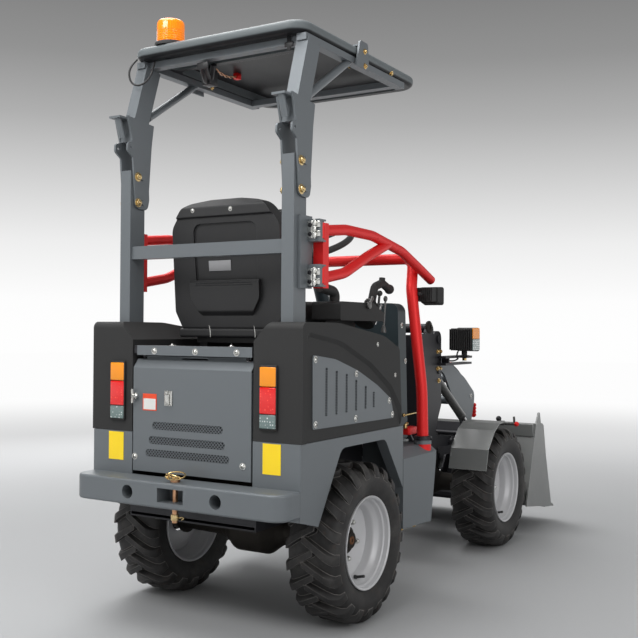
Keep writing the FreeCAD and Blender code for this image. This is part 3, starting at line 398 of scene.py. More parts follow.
class Finish(Enum):
    """The loader's finishes by their place on it."""

    GREY = Paint("grey_paint", tone(92, 97, 96), tone(106, 109, 107), tone(188, 192, 191))
    BUCKET = Paint("bucket_grey", tone(106, 108, 107), tone(128, 128, 126), tone(192, 195, 194), roughness=0.36,
                   dust_share=0.6)
    ROOF = Paint("roof_grey", tone(100, 106, 108), tone(88, 92, 94), tone(170, 174, 175), roughness=0.42, coat=0.0,
                 shine=0.2, edge_gain=2.0, under=tone(28, 29, 31))
    COVER = Paint("black_cover", tone(20, 17, 17), tone(30, 27, 27), tone(96, 94, 94), roughness=0.36, coat=0.15,
                  shine=0.3, edge_gain=3.5)
    # Dark blue-grey on the dash: painted shade, the dash as it looks in the roof's shadow.
    SLATE = Paint("slate_paint", tone(44, 56, 63), tone(56, 66, 72), tone(112, 122, 128), roughness=0.45)
    RED = Paint("red_paint", (1.0, 0.0, 0.0, 1.0), (0.82, 0.0, 0.0, 1.0), (1.0, 0.04, 0.03, 1.0), roughness=0.3,
                coat=0.0, shine=0.06, edge_gain=1.5, dust_share=0.4)
    RIM = Paint("rim_silver", tone(196, 195, 193), tone(168, 165, 162), tone(250, 250, 250), roughness=0.3,
                coat=0.3, metallic=0.55, edge_gain=4.0, dust_share=0.5)
    STEEL = Paint("black_steel", tone(20, 18, 19), tone(36, 34, 33), tone(108, 106, 106), roughness=0.4,
                  coat=0.15, shine=0.35)
    CAST = Paint("cast_iron", tone(38, 34, 32), tone(60, 50, 43), tone(86, 78, 72), roughness=0.6, coat=0.0,
                 peel=0.0004)
    CYLINDER = Paint("cylinder_grey", tone(70, 70, 69), tone(86, 86, 84), tone(136, 136, 134), roughness=0.34)
    YELLOW = Paint("yellow_plate", (1.0, 0.7, 0.0, 1.0), (0.88, 0.6, 0.0, 1.0), tone(255, 232, 120), roughness=0.35,
                   edge_gain=1.0, edge_radius=0.0008, dust_share=0.3)
    WHITE = Paint("white_label", tone(226, 226, 222), tone(204, 204, 200), tone(245, 245, 245), roughness=0.4,
                  edge_gain=1.0, edge_radius=0.0008)
    SILVER = Paint("silver_label", tone(150, 150, 152), tone(128, 128, 132), tone(196, 196, 198), roughness=0.3,
                   edge_gain=1.0, edge_radius=0.0008)
    ORANGE = Paint("orange_label", tone(232, 70, 22), tone(214, 64, 24), tone(255, 120, 80), roughness=0.35,
                   edge_gain=1.0, edge_radius=0.0008)
    VINYL = Moulding("seat_vinyl", tone(25, 25, 26), tone(36, 36, 37), roughness=0.44)
    SHELL = Moulding("seat_shell", tone(38, 38, 39), tone(50, 50, 51), roughness=0.5, grain=0.0001)
    LOOM = Moulding("loom_black", tone(26, 26, 28), tone(38, 38, 40), roughness=0.45, grain=0.0001)
    PLASTIC = Moulding("lamp_black", tone(30, 30, 31), tone(42, 42, 42), roughness=0.46, grain=0.00005)
    GRIP = Moulding("wheel_black", tone(36, 36, 37), tone(48, 48, 48), roughness=0.55, grain=0.00015)
    HOSE = Moulding("hose_black", tone(28, 28, 29), tone(40, 40, 41), roughness=0.5, grain=0.0001, grain_scale=900)
    TYRE = Rubber("tyre_rubber")
    CHROME = Metal("chrome_rod", tone(212, 212, 214), tone(180, 180, 182), roughness=0.14, stain_share=0.2)
    ZINC = Metal("yellow_zinc", tone(214, 190, 140), tone(150, 112, 66), roughness=0.3)
    BRIGHT = Metal("bright_zinc", tone(214, 214, 210), tone(160, 156, 146), roughness=0.26)
    GOLD = Metal("gold_plated", tone(226, 196, 138), tone(170, 126, 66), roughness=0.25)
    COPPER = Metal("worn_pin", tone(206, 160, 124), tone(132, 84, 58), roughness=0.38, stain_share=0.6)
    BRONZE = Metal("hub_rust", tone(122, 84, 58), tone(66, 44, 34), roughness=0.5, stain_share=0.7)
    AMBER = Lens("amber_lens", (0.80, 0.12, 0.0, 1.0), (1.0, 0.55, 0.05, 1.0), painted_glow=0.22)
    RUBY = Lens("red_lens", (0.62, 0.0, 0.0, 1.0), (1.0, 0.10, 0.05, 1.0), painted_glow=0.22)
    CLEAR = Lens("clear_lens", tone(96, 114, 112), tone(250, 252, 252), painted_glow=0.15)
    DOME = Lens("amber_dome", (1.0, 0.23, 0.0, 1.0), (1.0, 0.36, 0.01, 1.0), pitch=0.006, painted_glow=0.25, share=0.5)
    TREAD = Chequer("tread_sheet")

    @property
    def material(self) -> bpy.types.Material:
        """The material, built on first use."""
        return bpy.data.materials.get(self.value.name) or self.value.make()


# ---------------------------------------------------------------- modelling by hand


class Bench:
    """The modeller's bench: starts, shapes and finishes pieces."""

    @staticmethod
    def clear() -> None:
        """Leaves edit mode and selects nothing."""
        if bpy.context.object is not None and bpy.context.object.mode != "OBJECT":
            bpy.ops.object.mode_set(mode="OBJECT")
        bpy.ops.object.select_all(action="DESELECT")

    @staticmethod
    def hold(piece: Piece) -> None:
        """Selects one piece and makes it active."""
        Bench.clear()
        piece.select_set(True)
        bpy.context.view_layer.objects.active = piece

    @staticmethod
    def settle(piece: Piece) -> Piece:
        """Moves the piece's place into its mesh."""
        Bench.hold(piece)
        bpy.ops.object.transform_apply(location=True, rotation=True, scale=True)
        return piece

    @staticmethod
    def block(low: Point, high: Point, bevel: float = 0.0, segments: int = 2) -> Piece:
        """A box between two corners with rounded edges.

        Args:
            low: the lowest corner.
            high: the highest corner.
            bevel: the edge radius.
            segments: the steps round the edge.

        Returns:
            The piece, with its place in its mesh.
        """
        Bench.clear()
        low, high = Vector(low), Vector(high)
        bpy.ops.mesh.primitive_cube_add(size=1, location=(low + high) / 2, scale=high - low)
        piece = Bench.settle(bpy.context.object)
        if bevel:
            Bench.modify(piece, "BEVEL", width=bevel, segments=segments, limit_method="ANGLE")
        return piece

    @staticmethod
    def disc(centre: Point, axis: Point, radius: float, depth: float, sides: int = 24, bevel: float = 0.0,
             tip: Optional[float] = None) -> Piece:
        """A round piece along an axis.

        Args:
            centre: the middle of its foot.
            axis: the direction it stands in.
            radius: the foot's radius.
            depth: its height.
            sides: the count of sides.
            bevel: the edge radius.
            tip: the far end's radius where it tapers.

        Returns:
            The piece, with its place in its mesh.
        """
        Bench.clear()
        bpy.ops.mesh.primitive_cone_add(vertices=sides, radius1=radius, radius2=radius if tip is None else tip,
                                        depth=depth, location=(0, 0, depth / 2))
        piece = Bench.settle(bpy.context.object)
        if bevel:
            Bench.modify(piece, "BEVEL", width=bevel, segments=2, limit_method="ANGLE", angle_limit=0.7)
        piece.data.transform(facing(centre, axis))
        return piece

    @staticmethod
    def turned(profile: Sequence[tuple[float, float]], centre: Point, axis: Point, steps: int = 32) -> Piece:
        """A profile spun round an axis.

        Args:
            profile: pairs of radius and height along the axis.
            centre: where the axis starts.
            axis: its direction.
            steps: the count of steps round.

        Returns:
            The closed piece.
        """
        Bench.clear()
        start = Vector((profile[0][0], 0, profile[0][1]))
        bpy.ops.mesh.primitive_plane_add(size=0.001, location=(0, 0, 0))
        piece = bpy.context.object
        bpy.ops.object.mode_set(mode="EDIT")
        bpy.ops.mesh.select_mode(type="VERT")
        bpy.ops.mesh.merge(type="CENTER")
        bpy.ops.transform.translate(value=start)
        for (r0, z0), (r1, z1) in zip(profile, profile[1:]):
            bpy.ops.mesh.extrude_vertices_move(TRANSFORM_OT_translate={"value": (r1 - r0, 0, z1 - z0)})
        bpy.ops.mesh.select_all(action="SELECT")
        bpy.ops.mesh.spin(steps=steps, angle=math.tau, center=(0, 0, 0), axis=UP)
        bpy.ops.mesh.select_all(action="SELECT")
        bpy.ops.mesh.remove_doubles(threshold=0.00002)
        bpy.ops.mesh.normals_make_consistent(inside=False)
        bpy.ops.object.mode_set(mode="OBJECT")
        piece.data.transform(facing(centre, axis))
        return piece

    @staticmethod
    def plate(outline: Sequence[Vector], thickness: Vector, bevel: float = 0.0) -> Piece:
        """A flat plate: its outline drawn edge by edge, filled and pulled out.

        Args:
            outline: the corners in order.
            thickness: which way and how far the face is extruded.
            bevel: the edge radius.

        Returns:
            The piece.
        """
        Bench.clear()
        bpy.ops.mesh.primitive_plane_add(size=0.001, location=(0, 0, 0))
        piece = bpy.context.object
        bpy.ops.object.mode_set(mode="EDIT")
        bpy.ops.mesh.select_mode(type="VERT")
        bpy.ops.mesh.merge(type="CENTER")
        bpy.ops.transform.translate(value=outline[0])
        for here, there in zip(outline, outline[1:]):
            bpy.ops.mesh.extrude_vertices_move(TRANSFORM_OT_translate={"value": Vector(there) - Vector(here)})
        bpy.ops.mesh.select_all(action="SELECT")
        bpy.ops.mesh.edge_face_add()
        bpy.ops.mesh.extrude_region_move(TRANSFORM_OT_translate={"value": thickness})
        bpy.ops.mesh.select_all(action="SELECT")
        bpy.ops.mesh.normals_make_consistent(inside=False)
        bpy.ops.object.mode_set(mode="OBJECT")
        if bevel:
            Bench.modify(piece, "BEVEL", width=bevel, segments=2, limit_method="ANGLE")
        return piece

    @staticmethod
    def pipe(route: Sequence[Vector], radius: float, name: str = "pipe", sides: int = 3) -> Piece:
        """A round bar on a smooth line through its route's middle.

        Args:
            route: the control points.
            radius: the bar's radius.
            name: the curve's name.
            sides: the resolution of the round section.

        Returns:
            The bar as a closed mesh.
        """
        Bench.clear()
        curve = bpy.data.curves.new(name, "CURVE")
        curve.dimensions = "3D"
        curve.bevel_depth = radius
        curve.bevel_resolution = sides
        curve.use_fill_caps = True
        curve.resolution_u = 8
        spline = curve.splines.new("NURBS")
        spline.points.add(len(route) - 1)
        for point, spot in zip(spline.points, route):
            point.co = (*spot, 1)
        spline.order_u = 3
        spline.use_endpoint_u = True
        piece = bpy.data.objects.new(name, curve)
        bpy.context.scene.collection.objects.link(piece)
        Bench.hold(piece)
        bpy.ops.object.convert(target="MESH")
        return bpy.context.object

    @staticmethod
    def modify(piece: Piece, kind: str, **settings: object) -> Piece:
        """Adds a modifier with its settings and applies it."""
        Bench.hold(piece)
        modifier = piece.modifiers.new(kind.lower(), kind)
        for key, value in settings.items():
            setattr(modifier, key, value)
        bpy.ops.object.modifier_apply(modifier=modifier.name)
        return piece

    @staticmethod
    def pick_faces(piece: Piece, test: Callable[[Vector, Vector], bool]) -> None:
        """Selects the faces whose centre and normal pass a test, and enters edit mode."""
        Bench.hold(piece)
        bpy.ops.object.mode_set(mode="EDIT")
        bpy.ops.mesh.select_mode(type="FACE")
        bpy.ops.mesh.select_all(action="DESELECT")
        bpy.ops.object.mode_set(mode="OBJECT")
        for face in piece.data.polygons:
            face.select = test(face.center, face.normal)
        bpy.ops.object.mode_set(mode="EDIT")

    @staticmethod
    def sink(piece: Piece, test: Callable[[Vector, Vector], bool], margin: float, depth: Vector) -> Piece:
        """Insets the picked faces and pushes them in or out.

        Args:
            piece: the piece to shape.
            test: picks faces by centre and normal.
            margin: the inset's width.
            depth: which way and how far the faces move.

        Returns:
            The piece.
        """
        Bench.pick_faces(piece, test)
        bpy.ops.mesh.inset(thickness=margin, depth=0)
        bpy.ops.mesh.extrude_region_move(TRANSFORM_OT_translate={"value": depth})
        bpy.ops.object.mode_set(mode="OBJECT")
        return piece

    @staticmethod
    def copies(master: Piece, places: Iterable[Matrix]) -> Piece:
        """One piece of many copies of a master, each with its own mesh.

        Args:
            master: the piece that repeats, modelled at the origin.
            places: where each copy goes.

        Returns:
            The joined piece.
        """
        made = []
        for place in places:
            twin = master.copy()
            twin.data = master.data.copy()
            twin.data.transform(place)
            if place.determinant() < 0:
                twin.data.flip_normals()
            bpy.context.scene.collection.objects.link(twin)
            made.append(twin)
        bpy.data.objects.remove(master)
        return Bench.join(made)

    @staticmethod
    def join(pieces: Sequence[Piece]) -> Piece:
        """Joins pieces into the first one."""
        Bench.clear()
        for piece in pieces:
            piece.select_set(True)
        bpy.context.view_layer.objects.active = pieces[0]
        if len(pieces) > 1:
            bpy.ops.object.join()
        return bpy.context.object

    @staticmethod
    def finish(piece: Union[Piece, list[Piece]], name: str, finish: Finish, body: str, slot: str,
               smooth: float = 35.0) -> Piece:
        """Names, shades, dresses and mounts a piece.

        Args:
            piece: the piece, with its place in its mesh, or a list to be joined.
            name: its name.
            finish: its material.
            body: the body that it rides on.
            slot: the record's material slot it stands for; not used.
            smooth: the angle in degrees below which faces blend.

        Returns:
            The piece.
        """
        if isinstance(piece, list):
            piece = Bench.join(piece)
        Bench.hold(piece)
        bpy.ops.object.shade_smooth_by_angle(angle=math.radians(smooth))
        piece.name = name
        piece.data.name = name
        piece.data.materials.clear()
        piece.data.materials.append(finish.material)
        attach(piece, body)
        log.info("%s: %d faces on %s", name, len(piece.data.polygons), body)
        return piece


def facing(centre: Point, axis: Point, roll: float = 0.0) -> Matrix:
    """A place whose own Z looks along an axis.

    Args:
        centre: where it stands.
        axis: the direction of its Z.
        roll: a turn about that axis in radians.

    Returns:
        The matrix.
    """
    turn = Vector(axis).normalized().to_track_quat("Z", "Y").to_matrix().to_4x4()
    return Matrix.Translation(Vector(centre)) @ turn @ Matrix.Rotation(roll, 4, "Z")


def slab(first: Point, second: Point, bevel: float = 0.0, segments: int = 2) -> Piece:
    """A block between two opposite corners in machine millimetres, given in any order."""
    corners = list(zip(at(*first), at(*second)))
    return Bench.block([min(pair) for pair in corners], [max(pair) for pair in corners], bevel, segments)


def rail(route: Sequence[Point], radius: float) -> Piece:
    """A round bar through points in machine millimetres."""
    return Bench.pipe([at(*spot) for spot in route], radius)


# ---------------------------------------------------------------- painted model


@dataclass
class Coachwork:
    """Dresses the CAD nodes whose shape stays."""

    finishes: dict[str, Finish] = field(default_factory=lambda: {
        "rear_chassis": Finish.STEEL, "rear_bumper": Finish.GREY, "hitch_pin": Finish.COPPER,
        "rear_axle": Finish.CAST, "rear_fenders": Finish.GREY, "side_covers": Finish.COVER,
        "vent_panels": Finish.GREY, "engine_block": Finish.CAST, "tail_lights": Finish.PLASTIC,
        "engine_door": Finish.GREY, "seat_frame": Finish.SHELL, "control_box": Finish.PLASTIC,
        "dash": Finish.SLATE, "step_boxes": Finish.GREY, "floor_plate": Finish.TREAD, "front_hoop": Finish.RED,
        "rops_lower": Finish.GREY, "work_lights": Finish.PLASTIC, "rops_upper": Finish.GREY, "roof": Finish.ROOF,
        "beacon": Finish.AMBER, "gate_left": Finish.RED, "gate_right": Finish.RED,
        "steering_wheel": Finish.GRIP, "front_frame": Finish.STEEL, "front_axle": Finish.CAST,
        "front_fenders": Finish.BUCKET, "headlights": Finish.PLASTIC, "boom": Finish.GREY,
        "bucket_pin": Finish.BRIGHT, "lift_barrels": Finish.CYLINDER, "lift_rods": Finish.CHROME,
        "tilt_barrel": Finish.CYLINDER, "tilt_rod": Finish.CHROME, "coupler": Finish.STEEL,
        "bucket": Finish.BUCKET, "steer_barrel": Finish.CYLINDER, "steer_rod": Finish.CHROME,
        "rear_left_tyre": Finish.TYRE, "rear_right_tyre": Finish.TYRE, "front_left_tyre": Finish.TYRE,
        "front_right_tyre": Finish.TYRE, "rear_left_rim": Finish.RIM, "rear_right_rim": Finish.RIM,
        "front_left_rim": Finish.RIM, "front_right_rim": Finish.RIM, "seat_back_pad": Finish.VINYL,
        "seat_cushion": Finish.VINYL, "roof_cable": Finish.HOSE,
    })

    def dress(self) -> None:
        """Gives every CAD node its finish."""
        for name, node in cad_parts.items():
            material = self.finishes[name].material
            if not node.data.materials:
                node.data.materials.append(material)
            for index in range(len(node.data.materials)):
                node.data.materials[index] = material
        log.info("dressed %d nodes", len(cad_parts))


# ---------------------------------------------------------------- wheels


@dataclass
class Tyre:
    """A traction tyre: its carcass and two rows of slanted lugs that wrap on to the sidewalls."""

    node: str
    body: str
    lugs: int = 21
    lug_width: float = 0.030
    sweep: float = 0.19
    full_sweep_at: float = 0.09
    sweep_ends: tuple = (-0.2, 1.08)
    mean_radius: float = 0.29
    widths: tuple = (0.86, 0.5, 1.2)
    lug_bevel: float = 0.0016
    carcass: tuple = ((0.1712, 0.070), (0.1722, 0.0865), (0.178, 0.0895), (0.200, 0.100), (0.225, 0.1055),
                      (0.245, 0.1035), (0.260, 0.094), (0.268, 0.078), (0.2715, 0.050), (0.2725, 0.0))
    ridge: tuple = ((0.2945, -0.024), (0.2955, 0.036), (0.2945, 0.066), (0.2885, 0.083), (0.2785, 0.0955),
                    (0.262, 0.1035), (0.243, 0.1068))
    root: tuple = ((0.270, -0.024), (0.270, 0.036), (0.268, 0.062), (0.264, 0.078), (0.258, 0.088),
                   (0.250, 0.095), (0.238, 0.1005))

    def build(self) -> Piece:
        """Models the carcass and its lugs."""
        low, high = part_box(self.node)
        centre = (low + high) / 2
        half = list(self.carcass)
        profile = half + [(r, -y) for r, y in reversed(half[:-1])]
        body = Bench.turned(profile, (0, 0, 0), UP, 96)
        master = self.lug()
        pitch = math.tau / self.lugs
        flip = Matrix.Diagonal((1, 1, -1, 1))
        places = [Matrix.Rotation(pitch * i, 4, "Z") for i in range(self.lugs)]
        places += [Matrix.Rotation(pitch * (i + 0.5), 4, "Z") @ flip for i in range(self.lugs)]
        tread = Bench.copies(master, places)
        piece = Bench.join([body, tread])
        upright = Matrix.Rotation(math.pi / 2, 4, "X")
        piece.data.transform(Matrix.Translation(centre) @ upright)
        Bench.finish(piece, self.node + "_tread", Finish.TYRE, self.body, "tyre", 40)
        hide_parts(self.node)
        return piece

    def lug(self) -> Piece:
        """One lug: a subdivided bar laid along the tread from its middle over the shoulder."""
        Bench.clear()
        bpy.ops.mesh.primitive_cube_add(size=1, location=(0.5, 0, 0.5))
        bar = Bench.settle(bpy.context.object)
        bpy.ops.object.mode_set(mode="EDIT")
        for cut in range(1, len(self.ridge) - 1):
            spot = cut / (len(self.ridge) - 1)
            bpy.ops.mesh.select_all(action="SELECT")
            bpy.ops.mesh.bisect(plane_co=(spot, 0, 0), plane_no=(1, 0, 0))
        bpy.ops.object.mode_set(mode="OBJECT")
        steps = len(self.ridge) - 1
        narrow, widening, root_share = self.widths
        for vertex in bar.data.vertices:
            along, across, up = vertex.co
            step = round(along * steps)
            r0, y0 = self.root[step]
            r1, y1 = self.ridge[step]
            reach = step / steps
            radius = r0 + (r1 - r0) * up
            side = y0 + (y1 - y0) * up
            width = self.lug_width * (narrow + widening * reach) * (1.0 if up > 0.5 else root_share)
            swept = self.sweep * max(min(side / self.full_sweep_at, self.sweep_ends[1]), self.sweep_ends[0])
            angle = swept + across * width / self.mean_radius
            vertex.co = Vector((math.cos(angle) * radius, math.sin(angle) * radius, side))
        bpy.ops.object.mode_set(mode="EDIT")
        bpy.ops.mesh.select_all(action="SELECT")
        bpy.ops.mesh.normals_make_consistent(inside=False)
        bpy.ops.object.mode_set(mode="OBJECT")
        Bench.modify(bar, "BEVEL", width=self.lug_bevel, segments=1, limit_method="ANGLE", angle_limit=0.6)
        return bar


@dataclass
class Rim:
    """A pressed rim: rolled lips, bead seats, a stepped well and a flat disc round the hub."""

    name: str
    body: str
    side: int
    front: tuple = ((0.1728, 0.0900), (0.1725, 0.0930), (0.1705, 0.0945), (0.1660, 0.0925), (0.1640, 0.0900),
                    (0.1632, 0.0800), (0.1622, 0.0740), (0.1600, 0.0725), (0.1572, 0.0700), (0.1560, 0.0560),
                    (0.1530, 0.0500), (0.1440, 0.0400), (0.1412, 0.0360), (0.1400, 0.0300), (0.1392, 0.0))
    back: tuple = ((0.1428, 0.0), (0.1436, 0.0340), (0.1590, 0.0530), (0.1640, 0.0720), (0.1690, 0.0800),
                   (0.1728, 0.0900))
    disc: tuple = ((0.1405, 0.0120), (0.1392, 0.0040), (0.1320, -0.0010), (0.1180, -0.0040), (0.1090, -0.0075),
                   (0.0580, -0.0075), (0.0560, -0.0160), (0.1090, -0.0160), (0.1200, -0.0120), (0.1405, -0.0040),
                   (0.1405, 0.0120))

    def build(self) -> Piece:
        """Models the barrel and the disc in one piece that stands for the plain rim."""
        low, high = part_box(self.name + "_rim")
        centre, out = (low + high) / 2, Vector((0, self.side, 0))
        inner = [(r, -y) for r, y in reversed(self.front[:-1])]
        outer = [(r, -y) for r, y in reversed(self.back[1:])]
        loop = [*self.front, *inner, *outer, *self.back, self.front[0]]
        barrel = Bench.turned(loop, centre, out, 72)
        disc = Bench.turned(self.disc, centre, out, 72)
        piece = Bench.finish([barrel, disc], self.name + "_rim_shell", Finish.RIM, self.body, "rim_silver", 28)
        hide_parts(self.name + "_rim")
        return piece


@dataclass
class WheelTrim:
    """Wheel nuts round the dark hub, the hub's rusty end and the tyre valve."""

    name: str
    body: str
    side: int
    bolts: int = 5
    ring: float = 0.071
    bolt_radius: float = 0.0095
    first_turn: float = -1.5

    def build(self) -> None:
        """Models and mounts the nuts, the hub and the valve."""
        low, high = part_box(self.name + "_rim")
        centre = (low + high) / 2
        out = Vector((0, self.side, 0))
        disc = centre - out * 0.0078
        collar = Bench.turned(((0.0085, 0.0), (0.0155, 0.0), (0.0155, 0.002), (0.0118, 0.0055), (0.0085, 0.0055)),
                              (0, 0, 0), UP, 20)
        nut = Bench.disc((0, 0, 0.003), UP, self.bolt_radius * 1.12, 0.011, 6, 0.0012)
        crown = Bench.turned(((self.bolt_radius, 0.013), (self.bolt_radius * 0.94, 0.0165),
                              (self.bolt_radius * 0.6, 0.0205), (0.0, 0.0215)), (0, 0, 0), UP, 16)
        master = Bench.join([nut, crown, collar])
        places = []
        for index in range(self.bolts):
            turn = math.tau * index / self.bolts + self.first_turn
            spot = disc + Vector((math.cos(turn), 0, math.sin(turn))) * self.ring
            places.append(facing(spot, out, turn))
        Bench.finish(Bench.copies(master, places), self.name + "_wheel_nuts", Finish.BRIGHT, self.body, "zinc")
        hub = Bench.turned(((0.0, -0.040), (0.046, -0.040), (0.046, 0.004), (0.0505, 0.0045), (0.0515, 0.007),
                            (0.0505, 0.0095), (0.030, 0.011), (0.0225, 0.0085), (0.0, 0.0085)), disc, out, 32)
        Bench.finish(hub, self.name + "_hub", Finish.CAST, self.body, "cast_iron")
        stub = Bench.turned(((0.0, 0.0), (0.0165, 0.0), (0.0165, 0.020), (0.0145, 0.0225), (0.0075, 0.0225),
                             (0.006, 0.0195), (0.0, 0.0195)), disc + out * 0.008, out, 20)
        lock = Bench.disc(disc + out * 0.009, out, 0.0215, 0.008, 6, 0.0012)
        Bench.finish([stub, lock], self.name + "_hub_end", Finish.BRONZE, self.body, "cast_iron")
        foot = centre + Vector((0.004, 0, -0.1365)) + out * 0.030
        lean = out + Vector((0, 0, 0.22))
        stem = Bench.disc(foot, lean, 0.0062, 0.036, 14, 0.0008, 0.0050)
        boot = Bench.disc(foot, lean, 0.0092, 0.010, 14, 0.0012, 0.0068)
        cap = Bench.disc(foot + lean.normalized() * 0.033, lean, 0.0056, 0.010, 14, 0.001)
        Bench.finish([stem, boot, cap], self.name + "_valve", Finish.HOSE, self.body, "tyre")


# ---------------------------------------------------------------- fasteners


class Head(Enum):
    """The kinds of screw head."""

    DOME = "dome"
    HEX = "hex"


@dataclass
class Fasteners:
    """A group of like screws on one body."""

    name: str
    body: str
    spots: list[tuple[Vector, Vector]]
    radius: float = 0.009
    head: Head = Head.DOME
    finish: Finish = Finish.BRIGHT

    def build(self) -> Piece:
        """Models one screw on its washer and copies it to each spot."""
        r = self.radius
        washer = Bench.disc((0, 0, -0.0002), UP, r * 1.45, 0.0016, 20, 0.0004)
        if self.head is Head.DOME:
            arc = [(r * math.cos(a), 0.0014 + r * 0.62 * math.sin(a)) for a in (0, 0.4, 0.8, 1.15)]
            socket = [(r * 0.38, arc[-1][1] + r * 0.03), (r * 0.34, 0.003), (0.0, 0.003)]
            crown = Bench.turned([(r, 0.0), *arc, *socket], (0, 0, 0), UP, 16)
        else:
            crown = Bench.disc((0, 0, 0.001), UP, r, r * 0.75, 6, r * 0.08)
            tip = Bench.disc((0, 0, r * 0.7), UP, r * 0.5, r * 0.5, 12, r * 0.08)
            crown = Bench.join([crown, tip])
        master = Bench.join([crown, washer])
        places = [facing(spot, normal, 0.5 * index) for index, (spot, normal) in enumerate(self.spots)]
        return Bench.finish(Bench.copies(master, places), self.name, self.finish, self.body, "zinc", 30)


# ---------------------------------------------------------------- rear body


@dataclass
class RearBody:
    """What the engine door, covers and bumper carry: screens, louvres, latches, lamps, plates and screws."""

    screen_pitch: float = 0.0135
    screen_wire: float = 0.0017
    screen_face: float = -429.6
    slot_half: float = 14
    shortest_wire: float = 0.002
    louvre_face: float = 470.0
    louvre_step: float = 5.6
    louvre_tilt: float = 0.5
    lamp_middle: float = 341.5
    slots: tuple = ((-147, 175, 726), (-156, 192, 672), (-176, 206, 624))
    louvres: tuple = ((-264, 782, 949), (-193, 782, 936), (-120, 784, 923), (-48, 786, 898), (26, 788, 872),
                      (91, 789, 847))
    lamp_rows: tuple = ((744, 792, "clear"), (794, 885, "red"), (887, 954, "amber"))

    def build(self) -> None:
        """Models every piece of the rear body."""
        self.door_screens()
        self.side_louvres()
        self.door_latches()
        self.cover_latches()
        self.lamps()
        self.plates()
        self.pin_clip()
        self.screws()

    def door_screens(self) -> None:
        """Woven wire behind the door's three air slots."""
        bars = []
        for low, high, z in self.slots:
            first = at(self.screen_face, low, z - self.slot_half)
            last = at(self.screen_face, high, z + self.slot_half)
            span, rise = last.y - first.y, last.z - first.z
            for lean in (1, -1):
                for index in range(1, int((span + rise) / self.screen_pitch)):
                    shift = index * self.screen_pitch
                    ends = [first + Vector((0, run if lean > 0 else span - run, shift - run))
                            for run in (max(0.0, shift - rise), min(span, shift))]
                    if (ends[1] - ends[0]).length >= self.shortest_wire:
                        bars.append(ends)
        wire = Bench.disc((0, 0, 0), UP, self.screen_wire, 1.0, 5)
        places = [facing(start, end - start) @ Matrix.Diagonal((1, 1, (end - start).length, 1)) for start, end in bars]
        Bench.finish(Bench.copies(wire, places), "door_screens", Finish.GREY, "engine_door", "grey_paint", 60)
        # Black plates just behind the slots: painted shade standing in for the dark inside.
        shade_plates = [slab((-424.5, low - 6, z - 20), (-423, high + 6, z + 20), 0.0004, 1) for low, high, z in self.slots]
        Bench.finish(shade_plates, "door_screen_backs", Finish.STEEL, "engine_door", "black_steel")

    def side_louvres(self) -> None:
        """Short pressed lips that fill the side panels' slots, one above the other."""
        for side, word in SIDES:
            master = Bench.block((-0.0074, -0.0012, -0.0011), (0.0074, 0.0022, 0.0011), 0.0006, 1)
            places = []
            for x, low, high in self.louvres:
                for index in range(int((high - low - 6) / self.louvre_step)):
                    spot = at(x, side * (self.louvre_face - 1.5), low + 6 + index * self.louvre_step)
                    tilt = Matrix.Rotation(side * self.louvre_tilt, 4, "X")
                    turn = Matrix.Identity(4) if side > 0 else Matrix.Rotation(math.pi, 4, "Z")
                    places.append(Matrix.Translation(spot) @ turn @ tilt)
            Bench.finish(Bench.copies(master, places), f"louvres_{word}", Finish.GREY, "rear_frame", "grey_paint")
            # Black plates just behind the louvres: painted shade standing in for the dark inside.
            shade_plates = [slab((x - 9, side * 464.5 - 0.6, low - 2), (x + 9, side * 464.5 + 0.6, high + 2), 0.0003, 1)
                     for x, low, high in self.louvres]
            Bench.finish(shade_plates, f"louvre_backs_{word}", Finish.STEEL, "rear_frame", "black_steel")

    def door_latches(self) -> None:
        """The paddle latch in its dish and the winged lock at the door's edge."""
        dish = slab((-436.5, 80, 801), (-431.7, 116, 857), 0.0014)
        Bench.sink(dish, lambda c, n: n.x < -0.9, 0.0030, Vector((0.0028, 0, 0)))
        paddle = slab((-439.5, 92, 806), (-434.0, 111, 845), 0.0016)
        Bench.sink(paddle, lambda c, n: n.x < -0.9, 0.0035, Vector((-0.0014, 0, 0)))
        lip = slab((-438.5, 83, 806), (-434.5, 88, 852), 0.0012)
        lock = Bench.disc(at(-434.5, 103, 851), (-1, 0, 0), 0.0040, 0.0045, 16, 0.0006)
        Bench.finish([dish, paddle, lip, lock], "paddle_latch", Finish.BRIGHT, "engine_door", "zinc")
        ring = Bench.disc(at(-431.8, 256, 832), (-1, 0, 0), 0.0125, 0.006, 20, 0.001)
        barrel = Bench.disc(at(-437, 256, 832), (-1, 0, 0), 0.0085, 0.006, 16, 0.0008)
        upper = rail([(-444, 258, 830), (-446, 263, 846), (-444, 262, 857)], 0.0056)
        lower = rail([(-444, 258, 834), (-446, 263, 818), (-444, 263, 806)], 0.0048)
        wing = rail([(-444, 262, 832), (-448, 250, 834), (-446, 237, 830)], 0.0066)
        Bench.finish([ring, barrel, upper, lower, wing], "wing_lock", Finish.BRIGHT, "engine_door", "zinc")

    def cover_latches(self) -> None:
        """A chrome handle, a gold rod and its nut at each cover's front edge."""
        for side, word in SIDES:
            y = side * 448
            grip = Bench.turned(((0.0, 0.0), (0.0032, 0.002), (0.0062, 0.016), (0.0084, 0.033), (0.0056, 0.049),
                                 (0.0, 0.052)), at(350, y, 720), (0.12, 0, 1), 20)
            stalk = Bench.disc(at(327, y, 752), (1, 0, 0.06), 0.0045, 0.026, 12, 0.0006)
            Bench.finish([grip, stalk], f"cover_handle_{word}", Finish.CHROME, "rear_frame", "zinc")
            rod = Bench.disc(at(606, side * 350, 714), (1, 0, 0.02), 0.0042, 0.122, 12, 0.0005)
            eye = Bench.disc(at(606, side * 350, 714), (0, 1, 0), 0.0075, 0.009, 14, 0.001)
            Bench.finish([rod, eye], f"latch_rod_{word}", Finish.GOLD, "rear_frame", "zinc")

